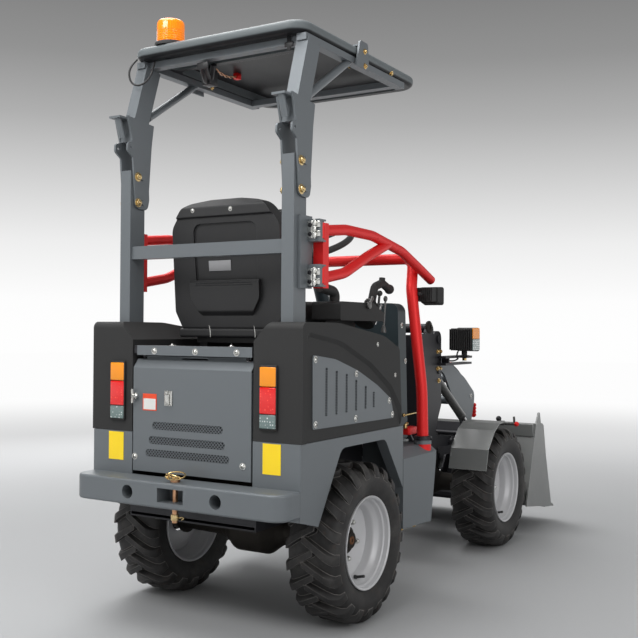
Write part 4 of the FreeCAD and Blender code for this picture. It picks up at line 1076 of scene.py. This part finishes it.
    def lamps(self) -> None:
        """Three stacked lenses in a black tray at each rear corner."""
        for side, word in SIDES:
            centre = side * self.lamp_middle
            tray = slab((-441, centre - 35, 738), (-430.6, centre + 35, 960), 0.003, 3)
            Bench.sink(tray, lambda c, n: n.x < -0.9, 0.0035, Vector((0.004, 0, 0)))
            Bench.finish(tray, f"lamp_tray_{word}", Finish.PLASTIC, "rear_frame", "lamp_black")
            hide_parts("tail_lights")
            for low, high, colour in self.lamp_rows:
                glass = slab((-444, centre - 33, low), (-436, centre + 33, high), 0.004, 3)
                finish = {"clear": Finish.CLEAR, "red": Finish.RUBY, "amber": Finish.AMBER}[colour]
                Bench.finish(glass, f"lamp_{colour}_{word}", finish, "rear_frame", "lamp_lens")

    def plates(self) -> None:
        """Bare plates where the machine carries its notices."""
        yellow = [slab((-431.5, s * 353 - 37, 588), (-430.2, s * 353 + 37, 693), 0.0004, 1) for s in (LEFT, RIGHT)]
        Bench.finish(yellow, "corner_plates", Finish.YELLOW, "rear_frame", "grey_paint")
        for name, low, high, bevel, finish, body in (
            ("hinge_strip", (-429.6, -268, 984), (-428.2, 254, 1019.5), 0.0005, Finish.GREY, "rear_frame"),
            ("door_label_rim", (-433.3, 155, 780), (-432.3, 221, 842), 0.0003, Finish.ORANGE, "engine_door"),
            ("door_label", (-433.9, 159, 784), (-432.8, 217, 824), 0.0003, Finish.WHITE, "engine_door"),
        ):
            Bench.finish(slab(low, high, bevel, 1), name, finish, body, "grey_paint")

    def pin_clip(self) -> None:
        """The wire ring clip on the drawbar pin's head and the cotter below."""
        top = node_centre("hitch_pin")
        top.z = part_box("hitch_pin")[1].z
        ring = [top + Vector((0.024 * math.sin(a) - 0.004, 0.042 * math.cos(a) - 0.004, 0.008 + 0.011 * math.sin(a)))
                for a in (math.tau * i / 12 for i in range(12))]
        hoop = Bench.pipe(ring + ring[:2], 0.0026)
        bow = [top + Vector(p) for p in ((0.0, 0.012, 0.0), (-0.014, 0.030, 0.012), (-0.024, 0.010, 0.016),
                                         (-0.026, -0.020, 0.012), (-0.014, -0.040, 0.004), (0.0, -0.022, 0.0))]
        spring = Bench.pipe(bow, 0.0024)
        cross = Bench.disc(top + Vector((0.010, 0.0, 0.001)), (-1, 0.5, 0.1), 0.0036, 0.044, 12, 0.0006)
        head = Bench.turned(((0.0, 0.0), (0.0165, 0.0), (0.0165, 0.003), (0.0125, 0.0055), (0.0, 0.0055)), top,
                            UP, 24)
        Bench.finish([hoop, spring, cross, head], "pin_clip", Finish.GOLD, "rear_frame", "zinc")
        foot = node_centre("hitch_pin")
        foot.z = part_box("hitch_pin")[0].z + 0.012
        collar = Bench.disc(foot + Vector((0, 0, -0.004)), UP, 0.0145, 0.022, 16, 0.0015)
        cotter = Bench.pipe([foot + Vector(p) for p in ((0, 0.012, 0.006), (0, -0.02, 0.006), (0, -0.036, 0.012),
                                                        (0, -0.04, 0.004), (0, -0.03, 0.001))], 0.0022)
        Bench.finish([collar, cotter], "pin_cotter", Finish.ZINC, "rear_frame", "zinc")

    def screws(self) -> None:
        """Screws of the door, the hinge strip and the side panels."""
        back = Vector((-1, 0, 0))
        door = [(at(-432, y, 607), back) for y in (258, -234)]
        Fasteners("door_screws", "engine_door", door, 0.0088).build()
        strip = [(at(-429.6, y, 1000), back) for y in (170, -20, -203)]
        strip += [(at(-412, y, 1020), Vector(UP)) for y in (99, -168)]
        Fasteners("strip_screws", "rear_frame", strip, 0.0088).build()
        panel = ((-340, 980), (-48, 921), (221, 806), (249, 750), (-52, 757), (-338, 757))
        for side, word in SIDES:
            spots = [(at(x, side * 469.2, z), Vector((0, side, 0))) for x, z in panel]
            Fasteners(f"panel_screws_{word}", "rear_frame", spots, 0.0088).build()
            top = [(at(x, side * 474.6, z), Vector((0, side, 0))) for x, z in ((110, 1028), (262, 905))]
            Fasteners(f"cover_screws_{word}", "rear_frame", top, 0.0062).build()
            under = [(at(x, side * y, 280.5), Vector((0, 0, -1))) for x, y in ((365, 455), (458, 466))]
            Fasteners(f"step_bolts_{word}", "rear_frame", under, 0.0085, Head.HEX, Finish.GOLD).build()


# ---------------------------------------------------------------- guards and roof


@dataclass
class Guards:
    """Bolts of the roof frame and the gates' plated hinges."""

    fold_bolts: tuple = ((-340, 1668), (-339, 1568))
    hinge_bands: tuple = ((1232, 1300), (1398, 1466))

    def build(self) -> None:
        """Models every fitting of the guards."""
        self.frame_bolts()
        self.hinges()
        self.hoop_collars()
        self.roof_fittings()

    def frame_bolts(self) -> None:
        """Brass-coloured bolts through the fold brackets."""
        heads = []
        for s in (LEFT, RIGHT):
            for x, z in self.fold_bolts:
                heads.append((at(x, s * 407, z), Vector((0, s, 0))))
                heads.append((at(x, s * 337, z), Vector((0, -s, 0))))
        Fasteners("fold_bolts", "roof_frame", heads, 0.0125, Head.HEX, Finish.ZINC).build()

    def hinges(self) -> None:
        """Bright butt hinges on the rear of each gate stay."""
        for side, word in SIDES:
            parts, screws = [], []
            for low, high in self.hinge_bands:
                middle = (low + high) / 2
                parts.append(slab((-300.5, side * 409, low + 2), (-296.3, side * 431, high - 4), 0.0012))
                for foot, head in ((low + 4, middle - 12), (middle - 9, middle + 9), (middle + 12, high - 2)):
                    parts.append(Bench.disc(at(-303.5, side * 440, foot), UP, 0.0072,
                                            (head - foot) * MILLIMETRE, 20, 0.0012))
                parts.append(Bench.disc(at(-303.5, side * 440, low), UP, 0.0034,
                                        (high - low) * MILLIMETRE, 12, 0.0008))
                parts.append(slab((-301.5, side * 446, low + 8), (-297.0, side * 460, middle - 6), 0.0014))
                parts.append(slab((-301.5, side * 446, middle + 6), (-297.0, side * 460, high - 6), 0.0014))
                screws += [(at(-300.5, side * 420, z), Vector((-1, 0, 0))) for z in (low + 17, high - 19)]
            Bench.finish(parts, f"butt_hinges_{word}", Finish.BRIGHT, "rear_frame", "zinc")
            Fasteners(f"hinge_screws_{word}", "rear_frame", screws, 0.0056, Head.DOME, Finish.STEEL).build()

    def hoop_collars(self) -> None:
        """Dark collars round the hoop's feet over grey sleeves."""
        for side, word in SIDES:
            foot, head = at(573.3, side * 454, 572), at(574.8, side * 451.8, 632)
            axis = head - foot
            sleeve = Bench.turned(((0.0345, 0.028), (0.0362, 0.0283), (0.0362, 0.044), (0.0345, 0.0443)), foot, axis,
                                  32)
            Bench.finish(sleeve, f"foot_sleeve_{word}", Finish.GREY, "rear_frame", "grey_paint")
            band = Bench.turned(((0.0345, 0.0438), (0.0382, 0.0445), (0.0385, 0.058), (0.0372, 0.0612),
                                 (0.0345, 0.0625), (0.0212, 0.0625), (0.0212, 0.0605), (0.0345, 0.0600)), foot, axis,
                                32)
            Bench.finish(band, f"foot_band_{word}", Finish.STEEL, "rear_frame", "black_steel")
            level = foot + axis * 0.85
            bolts = [(level + Vector((-0.0383, side * 0.004, 0)), Vector((-1, side * 0.1, 0))),
                     (level + Vector((0.0, side * 0.0383, 0)), Vector((0, side, 0)))]
            Fasteners(f"foot_bolts_{word}", "rear_frame", bolts, 0.0045, Head.HEX, Finish.STEEL).build()

    def roof_fittings(self) -> None:
        """Clamp bolts on the roof's rim, the loom below it and the lamp plug."""
        gold = []
        for s in (LEFT, RIGHT):
            gold += [(at(115, s * 410.2, 2104), Vector((0, s, 0))), (at(112, s * 410.2, 2160), Vector((0, s, 0))),
                     (at(122, s * 337, 2118), Vector((0, -s, 0)))]
        gold.append((at(372, -393, 2139), Vector((0, -0.8, -0.6))))
        Fasteners("clamp_bolts", "roof_frame", gold, 0.0078, Head.HEX, Finish.GOLD).build()
        boot = slab((-268, 60, 2070), (-259.5, 112, 2096), 0.004)
        drops = (
            (0.0095, ((-262, 76, 2090), (-230, 98, 2072), (-150, 138, 2058), (-112, 168, 2082), (-96, 178, 2118),
                      (-90, 180, 2130))),
            (0.0085, ((-262, 96, 2088), (-215, 120, 2052), (-140, 158, 2048), (-104, 172, 2090), (-98, 186, 2128))),
            (0.0105, ((-190, 92, 2104), (-168, 120, 2060), (-132, 146, 2074), (-120, 140, 2130))),
        )
        hoses = [rail(route, radius) for radius, route in drops]
        junction = slab((-168, 122, 2040), (-118, 168, 2104), 0.007, 3)
        tee = slab((-272, -325, 2094), (-265.3, -289, 2112), 0.0015)
        stem = slab((-271, -315, 2080), (-265.3, -299, 2135), 0.0015)
        Bench.finish([boot, junction, tee, stem, *hoses], "roof_loom", Finish.LOOM, "roof_frame", "lamp_black")
        wires = []
        for phase in (0.0, math.pi):
            route = []
            for step in range(15):
                share = step / 14
                middle = at(-118, 150, 2122).lerp(at(122, 208, 2146), share)
                turn = phase + share * 15
                droop = 0.016 * math.sin(share * math.pi)
                route.append(middle + Vector((0, 0.0045 * math.cos(turn), 0.0045 * math.sin(turn) - droop)))
            wires.append(Bench.pipe(route, 0.0019, sides=2))
        Bench.finish(wires, "lamp_wires", Finish.COPPER, "roof_frame", "zinc")
        plug = slab((118, 200, 2138), (146, 224, 2164), 0.003, 2)
        latch = slab((122, 196, 2146), (140, 200.5, 2158), 0.0015)
        Bench.finish([plug, latch], "lamp_plug", Finish.RED, "roof_frame", "red_paint")


@dataclass
class Beacon:
    """The flashing lamp: a dark foot and a ribbed amber dome."""

    share: float = 0.87

    def build(self) -> None:
        """Models the lamp in the CAD lamp's place."""
        low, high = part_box("beacon")
        centre = (low + high) / 2
        foot = Vector((centre.x, centre.y, low.z))
        radius, height = (high.x - low.x) / 2, high.z - low.z
        base = Bench.turned(((0.0, 0.0), (radius, 0.0), (radius, 0.010), (radius * 0.96, 0.014), (0.0, 0.014)), foot,
                            UP, 48)
        Bench.finish(base, "beacon_foot", Finish.PLASTIC, "roof_frame", "lamp_black")
        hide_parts("beacon")
        outer = radius * self.share
        profile = [(0.0, 0.0142), (outer, 0.0142)]
        for rib in range(5):
            z = 0.018 + rib * 0.009
            profile += [(outer, z), (outer * 0.975, z + 0.0015), (outer * 0.975, z + 0.0030), (outer, z + 0.0045)]
        profile += [(outer, height - 0.016), (outer * 0.95, height - 0.006), (outer * 0.86, height - 0.0015),
                    (outer * 0.5, height), (0.0, height)]
        dome = Bench.turned(profile, foot, UP, 48)
        Bench.finish(dome, "beacon_dome", Finish.DOME, "roof_frame", "amber_lens")


@dataclass
class BeaconCable:
    """The lamp's short cable, hanging in one loop behind the roof's left rear corner."""

    radius: float = 0.004
    length: float = 0.2747
    route: tuple = ((-306, 378, 2136), (-345, 384, 2098), (-348, 378, 2042), (-336, 352, 2022), (-322, 318, 2034),
                    (-304, 300, 2074), (-285, 306, 2122))

    def build(self) -> Piece:
        """Models the cable as one smooth spline."""
        Bench.clear()
        curve = bpy.data.curves.new("beacon_cable", "CURVE")
        curve.dimensions = "3D"
        curve.bevel_depth = self.radius
        curve.bevel_resolution = 4
        curve.resolution_u = 16
        curve.use_fill_caps = True
        spline = curve.splines.new("NURBS")
        spline.points.add(len(self.route) - 1)
        for point, spot in zip(spline.points, self.route):
            point.co = (*at(*spot), 1)
        spline.order_u = 3
        spline.use_endpoint_u = True
        piece = bpy.data.objects.new("beacon_cable", curve)
        bpy.context.scene.collection.objects.link(piece)
        curve.materials.append(Finish.HOSE.material)
        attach(piece, "roof_frame")
        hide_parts("roof_cable")
        at(*self.route[0])
        2 * self.radius
        log.info("beacon_cable: %.0f mm", self.length / MILLIMETRE)
        return piece


# ---------------------------------------------------------------- operator's place


@dataclass
class Seat:
    """The seat: two pads blown up like filled vinyl covers, the shell's screws and its blank plate."""

    voxel: float = 0.006
    pressure: float = 4.0
    last_frame: int = 20
    travel: float = 0.009
    start_shrink: float = 0.003
    seam_depth: float = 0.0075
    seam_width: float = 0.0065
    back_seam: tuple = (0.128, 1.455)
    base_seam: tuple = (0.135, 0.215)
    sewn_side: float = 0.4

    def build(self) -> None:
        """Models the pads and the fittings."""
        back = self.pad("seat_back_pad", "seat_back_cover")
        across, up = self.back_seam
        self.channels(back, lambda p: min(abs(abs(p.y) - across), abs(p.z - up) + (abs(p.y) > across)),
                      lambda n: n.x > self.sewn_side)
        self.close(back, "seat_back_cover", "seat_back_pad")
        base = self.pad("seat_cushion", "seat_base_cover")
        wide, ahead = self.base_seam
        front = REAR_AXLE_X + ahead
        self.channels(base, lambda p: min(abs(abs(p.y) - wide), abs(p.x - front) + (abs(p.y) > wide)),
                      lambda n: n.z > self.sewn_side)
        self.close(base, "seat_base_cover", "seat_cushion")
        self.fittings()

    def pad(self, node: str, name: str) -> Piece:
        """A pad from its CAD solid, remeshed, a little smaller and filled by pressure.

        Args:
            node: the CAD solid.
            name: the piece's name.

        Returns:
            The swollen pad.
        """
        piece = bpy.data.objects.new(name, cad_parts[node].data.copy())
        bpy.context.scene.collection.objects.link(piece)
        Bench.modify(piece, "REMESH", mode="VOXEL", voxel_size=self.voxel)
        Bench.modify(piece, "SMOOTH", factor=0.5, iterations=4)
        Bench.modify(piece, "DISPLACE", strength=-self.start_shrink, mid_level=0.0)
        self.inflate(piece)
        return piece

    def inflate(self, piece: Piece) -> None:
        """Fills the cover by cloth pressure and caps how far it moves."""
        start = [vertex.co.copy() for vertex in piece.data.vertices]
        Bench.hold(piece)
        cloth = piece.modifiers.new("cloth", "CLOTH")
        cloth.settings.use_pressure = True
        cloth.settings.uniform_pressure_force = self.pressure
        cloth.settings.effector_weights.gravity = 0.0
        cloth.settings.quality = 4
        cloth.point_cache.frame_start = 1
        cloth.point_cache.frame_end = self.last_frame
        for moment in range(1, self.last_frame + 1):
            bpy.context.scene.frame_set(moment)
        bpy.ops.object.modifier_apply(modifier=cloth.name)
        bpy.context.scene.frame_set(1)
        for vertex, origin in zip(piece.data.vertices, start):
            move = vertex.co - origin
            if move.length > self.travel:
                vertex.co = origin + move.normalized() * self.travel

    def channels(self, piece: Piece, gap: Callable[[Vector], float], facing_test: Callable[[Vector], bool]) -> None:
        """Presses sewn channels into the cover.

        Args:
            piece: the pad.
            gap: how far a point lies from the nearest seam.
            facing_test: whether a normal is on the sewn side.
        """
        Bench.modify(piece, "SUBSURF", levels=1)
        moved = []
        for vertex in piece.data.vertices:
            if facing_test(vertex.normal):
                depth = self.seam_depth * math.exp(-(gap(vertex.co) / self.seam_width) ** 2)
                moved.append((vertex, vertex.normal * depth))
        for vertex, push in moved:
            vertex.co -= push

    def close(self, piece: Piece, name: str, node: str) -> None:
        Bench.finish(piece, name, Finish.VINYL, "rear_frame", "seat_vinyl", 60)
        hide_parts(node)

    def fittings(self) -> None:
        """The shell's two screws, its blank silver plate and the thin stays below."""
        back = Vector((-1, 0, -0.1))
        spots = [(at(-253.2, 138, 1535), back), (at(-253.2, -41, 1532), back)]
        Fasteners("shell_screws", "rear_frame", spots, 0.0062).build()
        lean = (at(-214.6, 0, 1304) - at(-218.4, 0, 1343)).normalized()
        low, high = at(-215.6, -20, 1304), at(-219.4, 84, 1343)
        corners = [Vector((low.x, low.y, low.z)), Vector((low.x, high.y, low.z)),
                   Vector((high.x, high.y, high.z)), Vector((high.x, low.y, high.z))]
        plate = Bench.plate(corners, Vector((-0.0012, 0, lean.x * 0.0012)), 0.0002)
        Bench.finish(plate, "shell_plate", Finish.SILVER, "rear_frame", "black_cover")
        rods = [rail([(-232, y, 1096), (-226, y - 4, 1078), (-230, y - 6, 1052)], 0.0022) for y in (71, -136)]
        Bench.finish(rods, "seat_stays", Finish.BRIGHT, "rear_frame", "zinc")


@dataclass
class Controls:
    """Small things to hand: buttons, levers, screws and the wheel's hub."""

    def build(self) -> None:
        """Models every control."""
        self.joystick()
        self.levers()
        self.dash()
        self.steering_hub()
        self.work_lamps()

    def joystick(self) -> None:
        """Buttons on the grip and the bright rod beside its bellows."""
        red = Bench.turned(((0.0, 0.0), (0.0095, 0.0), (0.0095, 0.004), (0.0065, 0.0075), (0.0, 0.0085)),
                           at(447, -318, 1279), (0.1, -0.1, 1), 18)
        Bench.finish(red, "grip_button", Finish.RED, "rear_frame", "red_paint")
        green = Bench.disc(at(470, -316, 1278), (0.2, -0.1, 1), 0.0055, 0.006, 14, 0.001)
        Bench.finish(green, "grip_switch", Finish.YELLOW, "rear_frame", "amber_lens")
        rod = Bench.disc(at(323, -352, 1105), at(373, -356, 1188) - at(323, -352, 1105), 0.0036, 0.096, 14, 0.0006)
        Bench.finish(rod, "bellows_rod", Finish.CHROME, "rear_frame", "chrome_rod")

    def levers(self) -> None:
        """A thin lever with a knob, and the knuckles at the bellows' foot."""
        shaft = rail([(461, -320, 1081), (466, -320, 1120), (474, -320, 1180), (478, -320, 1212)], 0.0042)
        knob = Bench.turned(((0.0, 0.0), (0.005, 0.0), (0.0085, 0.006), (0.0095, 0.014), (0.006, 0.022),
                             (0.0, 0.024)), at(477, -320, 1204), (0.05, 0, 1), 16)
        foot = Bench.turned(((0.0, 0.0), (0.0115, 0.0), (0.0105, 0.010), (0.0062, 0.030), (0.0, 0.030)),
                            at(460.5, -320, 1072), (0.05, 0, 1), 18)
        Bench.finish([shaft, knob, foot], "side_lever", Finish.CYLINDER, "rear_frame", "black_steel")
        knuckle = Bench.disc(at(232, -372, 1196), UP, 0.013, 0.012, 18, 0.002)
        pivot = Bench.disc(at(196, -386.5, 1180), (0, -1, 0), 0.015, 0.010, 18, 0.002)
        link = rail([(196, -390, 1180), (230, -388, 1206), (262, -372, 1214)], 0.0055)
        Bench.finish([knuckle, pivot, link], "rest_knuckles", Finish.CYLINDER, "rear_frame", "black_steel")

    def dash(self) -> None:
        """Screws on the dash's flank, and the dusty red can with its fitting and wires."""
        side = Vector((0, -1, 0))
        spots = [(at(610, -332.5, 1104), side), (at(640, -336.5, 948), side)]
        Fasteners("dash_screws", "rear_frame", spots, 0.0085).build()
        can = slab((556, -398, 634), (634, -362, 668), 0.006, 3)
        Bench.finish(can, "dusty_can", Finish.RED, "rear_frame", "red_paint")
        nut = Bench.disc(at(546, -382, 664), UP, 0.010, 0.014, 6, 0.001)
        tip = Bench.disc(at(546, -382, 676), (0.6, -0.2, 0.5), 0.0065, 0.018, 12, 0.001)
        Bench.finish([nut, tip], "can_fitting", Finish.GOLD, "rear_frame", "zinc")
        wires = [rail([(600, -380, 640), (610, -384, 622), (618, -388, 608)], 0.0022),
                 rail([(588, -382, 640), (600, -388, 624), (604, -392, 609)], 0.0022)]
        Bench.finish(wires, "can_wires", Finish.SILVER, "rear_frame", "zinc")

    def steering_hub(self) -> None:
        """The wheel's hub cap."""
        top = at(383, 0, 1457)
        axis = Vector((-0.42, 0, 0.907))
        cap = Bench.turned(((0.0, 0.0), (0.030, 0.0), (0.032, 0.004), (0.028, 0.011), (0.012, 0.015), (0.0, 0.0155)),
                           top, axis, 32)
        Bench.finish(cap, "wheel_cap", Finish.SHELL, "steering_wheel", "wheel_black")

    def work_lamps(self) -> None:
        """The clear lenses of the lamps on the hoop."""
        for side, word in SIDES:
            lens = slab((740.2, side * 419 - 44, 1200), (743.5, side * 419 + 44, 1268), 0.002, 2)
            Bench.finish(lens, f"work_lens_{word}", Finish.CLEAR, "rear_frame", "lamp_lens")
            knob = Bench.disc(at(616, side * 420, 1240), (-1, 0, 0), 0.008, 0.014, 16, 0.002)
            Bench.finish(knob, f"work_knob_{word}", Finish.PLASTIC, "rear_frame", "lamp_black")


# ---------------------------------------------------------------- loader front


@dataclass
class FrontGear:
    """Lamps, pipes, couplings and bolts of the tower and the boom."""

    pipe_line: tuple = ((1180, 968), (1300, 934), (1440, 912), (1480, 906), (1590, 858), (1650, 800), (1710, 766))

    def build(self) -> None:
        """Models every fitting of the front."""
        self.head_lamps()
        self.tower()
        self.boom_pipes()
        self.bucket_gear()

    def head_lamps(self) -> None:
        """Amber and white lenses round each head lamp's outer corner."""
        for side, word in SIDES:
            white = slab((1256, side * 402.2, 986), (1344, side * 405.8, 1041), 0.0012, 1)
            amber = slab((1256, side * 402.2, 1043), (1344, side * 405.8, 1096), 0.0012, 1)
            front = slab((1338, side * 292, 990), (1343.8, side * 402, 1088), 0.002, 2)
            Bench.finish([white, front], f"head_lens_{word}", Finish.CLEAR, "front_frame", "lamp_lens")
            Bench.finish(amber, f"turn_lens_{word}", Finish.AMBER, "front_frame", "amber_lens")
            nut = Bench.disc(at(1300, side * 343, 948), (0, 0, -1), 0.012, 0.014, 6, 0.001)
            Bench.finish(nut, f"lamp_nut_{word}", Finish.GOLD, "front_frame", "zinc")
            lead = rail([(1262, side * 330, 990), (1240, side * 326, 966), (1262, side * 322, 942),
                         (1290, side * 316, 944), (1250, side * 306, 930), (1190, side * 300, 936)], 0.0038)
            Bench.finish(lead, f"lamp_lead_{word}", Finish.HOSE, "front_frame", "cable_black")

    def tower(self) -> None:
        """Bolts on the tower's flanks and the round boss at its head."""
        heads = []
        for s in (LEFT, RIGHT):
            heads += [(at(x, s * y, z), Vector((0, s, 0))) for x, y, z in (
                (1099, 287.2, 981), (1132, 287.2, 981), (1099, 287.2, 899), (1128, 287.2, 899), (1113, 287.2, 840))]
        Fasteners("tower_bolts", "front_frame", heads, 0.0085, Head.HEX, Finish.GOLD).build()
        for s, word in SIDES:
            boss = Bench.turned(((0.0, 0.0), (0.0285, 0.0), (0.030, 0.003), (0.030, 0.010), (0.024, 0.014),
                                 (0.011, 0.014), (0.0105, 0.010), (0.0, 0.010)), at(1000, s * 279, 1098), (0, s, 0),
                                32)
            Bench.finish(boss, f"tower_boss_{word}", Finish.CAST, "front_frame", "cast_iron")

    def boom_pipes(self) -> None:
        """Steel pipes along the boom's back with couplings and red dust caps."""
        pipes, nuts, caps = [], [], []
        for lane, y in enumerate((-196, -178, -160, 160, 178, 196)):
            drop = lane % 3 * 4
            pipes.append(rail([(x, y, z - drop) for x, z in self.pipe_line], 0.0075))
            nuts += [facing(at(1440 + 26 * (lane % 3), y, 908 - drop), (1, 0, -0.25)),
                     facing(at(1640, y, 812 - drop), (1, 0, -0.6))]
        Bench.finish(pipes, "boom_pipes", Finish.STEEL, "boom", "black_steel")
        master = Bench.disc((0, 0, -0.009), UP, 0.0115, 0.018, 6, 0.001)
        Bench.finish(Bench.copies(master, nuts), "boom_pipe_nuts", Finish.BRIGHT, "boom", "zinc")
        cap = Bench.turned(((0.0, 0.0), (0.0105, 0.0), (0.0115, 0.004), (0.0105, 0.007), (0.0115, 0.010),
                            (0.0105, 0.020), (0.007, 0.024), (0.0, 0.024)), (0, 0, 0), UP, 20)
        for s in (LEFT, RIGHT):
            caps += [facing(at(1443, s * 206, 896), UP), facing(at(1646, s * 206, 776), (0.6, 0, 0.8))]
            caps += [facing(at(1746, s * 214, z), (1, 0, 0.1)) for z in (622, 640, 658, 676)]
        Bench.finish(Bench.copies(cap, caps), "dust_caps", Finish.RED, "boom", "red_paint")
        white = [(at(1696, s * 220.2, 730), Vector((0, s, 0))) for s in (LEFT, RIGHT)]
        Fasteners("boom_studs", "boom", white, 0.0085).build()

    def bucket_gear(self) -> None:
        """The lock bar with its red ball."""
        bar = Bench.disc(at(1800, -330, 584), (0, -1, 0), 0.0095, 0.104, 18, 0.0012)
        arm = rail([(1800, -426, 584), (1796, -430, 604), (1792, -428, 622)], 0.0062)
        sleeve = Bench.disc(at(1800, -344, 584), (0, -1, 0), 0.0135, 0.030, 18, 0.002)
        Bench.finish([bar, arm, sleeve], "lock_bar", Finish.CYLINDER, "bucket", "black_steel")
        Bench.clear()
        bpy.ops.mesh.primitive_uv_sphere_add(segments=24, ring_count=14, radius=0.0135,
                                             location=at(1800, -440, 583))
        Bench.finish(Bench.settle(bpy.context.object), "lock_ball", Finish.RED, "bucket", "red_paint")


# ---------------------------------------------------------------- studio


@dataclass
class Studio:
    """Floor, light and camera."""

    eye: tuple = (-3.0981, -2.1376, 1.0804)
    yaw: float = 30.9735
    pitch: float = 0.5873
    roll: float = 0.375
    lens: float = 53.223
    sensor: float = 36.0
    shift: tuple = (0.00014, 0.00237)
    floor_size: float = 60.0
    rays: tuple = ("Is Camera Ray", "Is Glossy Ray", "Is Transmission Ray")

    def build(self) -> None:
        """Sets the whole studio."""
        self.floor()
        self.world()
        self.lights()
        self.camera()
        bpy.context.scene.view_settings.view_transform = "Standard"

    def floor(self) -> None:
        """A plain pale floor that fades into the backdrop with distance."""
        Bench.clear()
        bpy.ops.mesh.primitive_plane_add(size=self.floor_size, location=(0, 0, 0))
        ground = bpy.context.object
        ground.name = "floor"
        g = Graph("studio_floor")
        cloud = g.noise(0.6, 2.0)
        distance = g.add("ShaderNodeVectorMath", {"operation": "LENGTH"}, {0: g.place()}, "Value")
        colour = g.blend(cloud, tone(158, 159, 160), tone(164, 165, 166))
        colour = g.blend(distance.ramp(1.5, 6.0), colour, tone(226, 227, 228))
        lit = g.add("ShaderNodeBsdfDiffuse", {}, {"Color": colour})
        plain = g.add("ShaderNodeEmission", {}, {"Color": tone(253, 253, 253), "Strength": 1.0})
        seen = [g.add("ShaderNodeLightPath", {}, {}, ray) for ray in self.rays]
        share = distance.ramp(3.0, 11.0) * (seen[0] + seen[1] + seen[2]).clamped()
        mixed = g.add("ShaderNodeMixShader", {}, {0: share, 1: lit, 2: plain})
        g.tree.links.new(mixed.socket, g.output.inputs["Surface"])
        ground.data.materials.append(g.material)

    def world(self) -> None:
        """A soft even sky, a pale sweep of grey to the eye and in mirrors."""
        world = bpy.data.worlds.new("studio")
        bpy.context.scene.world = world
        world.use_nodes = True
        tree = world.node_tree
        tree.nodes.clear()
        path = tree.nodes.new("ShaderNodeLightPath")
        light = tree.nodes.new("ShaderNodeBackground")
        light.inputs["Color"].default_value = (1.0, 1.0, 1.0, 1)
        light.inputs["Strength"].default_value = 0.6
        place = tree.nodes.new("ShaderNodeTexCoord")
        split = tree.nodes.new("ShaderNodeSeparateXYZ")
        sweep = tree.nodes.new("ShaderNodeValToRGB")
        marks = ((0.0, 254), (0.03, 253), (0.09, 238), (0.155, 208), (0.215, 175), (0.275, 146), (0.34, 127))
        for index, (height, level) in enumerate(marks):
            knots = sweep.color_ramp.elements
            knot = knots[index] if index < 2 else knots.new(height)
            knot.position = height
            knot.color = tone(level, level, level)
        seen = tree.nodes.new("ShaderNodeBackground")
        mix = tree.nodes.new("ShaderNodeMixShader")
        out = tree.nodes.new("ShaderNodeOutputWorld")
        tree.links.new(place.outputs["Generated"], split.inputs[0])
        tree.links.new(split.outputs["Z"], sweep.inputs[0])
        tree.links.new(sweep.outputs[0], seen.inputs["Color"])
        total = path.outputs[self.rays[0]]
        for ray in self.rays[1:]:
            both = tree.nodes.new("ShaderNodeMath")
            both.operation = "MAXIMUM"
            tree.links.new(total, both.inputs[0])
            tree.links.new(path.outputs[ray], both.inputs[1])
            total = both.outputs[0]
        tree.links.new(total, mix.inputs[0])
        tree.links.new(light.outputs[0], mix.inputs[1])
        tree.links.new(seen.outputs[0], mix.inputs[2])
        tree.links.new(mix.outputs[0], out.inputs["Surface"])

    def lights(self) -> None:
        """A long soft box overhead, one behind the machine and one each side."""
        self.soft_box("overhead", (-0.6, 0.9, 4.3), (-0.1, 0, 0.6), (4.4, 2.2), 165.0)
        self.soft_box("behind", (-4.2, 0.8, 4.0), (-0.2, 0, 0.9), (2.6, 1.2), 95.0)
        self.soft_box("side", (-2.6, -4.2, 2.6), (0, 0, 0.8), (2.4, 1.6), 48.0)
        self.soft_box("far", (2.6, 4.0, 2.8), (0, 0, 0.8), (2.6, 2.0), 50.0)

    def soft_box(self, name: str, place: tuple, target: tuple, size: tuple, power: float) -> None:
        """One rectangular area lamp.

        Args:
            name: its name.
            place: where it hangs.
            target: what it looks at.
            size: its two sides.
            power: its watts.
        """
        lamp = bpy.data.lights.new(name, "AREA")
        lamp.shape = "RECTANGLE"
        lamp.size, lamp.size_y = size
        lamp.energy = power
        holder = bpy.data.objects.new(name, lamp)
        holder.location = place
        holder.rotation_euler = (Vector(target) - Vector(place)).to_track_quat("-Z", "Y").to_euler()
        bpy.context.scene.collection.objects.link(holder)

    def camera(self) -> None:
        """The camera, low behind the right rear corner."""
        data = bpy.data.cameras.new("camera")
        data.lens = self.lens
        data.sensor_width = self.sensor
        data.shift_x, data.shift_y = self.shift
        camera = bpy.data.objects.new("camera", data)
        yaw, pitch = math.radians(self.yaw), math.radians(self.pitch)
        look = Vector((math.cos(pitch) * math.cos(yaw), math.cos(pitch) * math.sin(yaw), math.sin(pitch)))
        turn = look.to_track_quat("-Z", "Y").to_matrix() @ Matrix.Rotation(math.radians(self.roll), 3, "Z")
        camera.rotation_euler = turn.to_euler()
        camera.location = at(*(v * 1000 for v in self.eye))
        bpy.context.scene.collection.objects.link(camera)
        bpy.context.scene.camera = camera


# ---------------------------------------------------------------- the whole


def main() -> None:
    """Builds every part of the picture in order."""
    logging.basicConfig(level=logging.INFO, format="%(message)s")
    Studio().build()
    BeaconCable().build()
    Coachwork().dress()
    for end, side_name, side in (("rear", "left", LEFT), ("rear", "right", RIGHT),
                                 ("front", "left", LEFT), ("front", "right", RIGHT)):
        name = f"{end}_{side_name}"
        Tyre(name + "_tyre", name + "_wheel").build()
        Rim(name, name + "_wheel", side).build()
        WheelTrim(name, name + "_wheel", side).build()
    RearBody().build()
    Guards().build()
    Beacon().build()
    Seat().build()
    Controls().build()
    FrontGear().build()


if __name__ == "__main__":
    main()
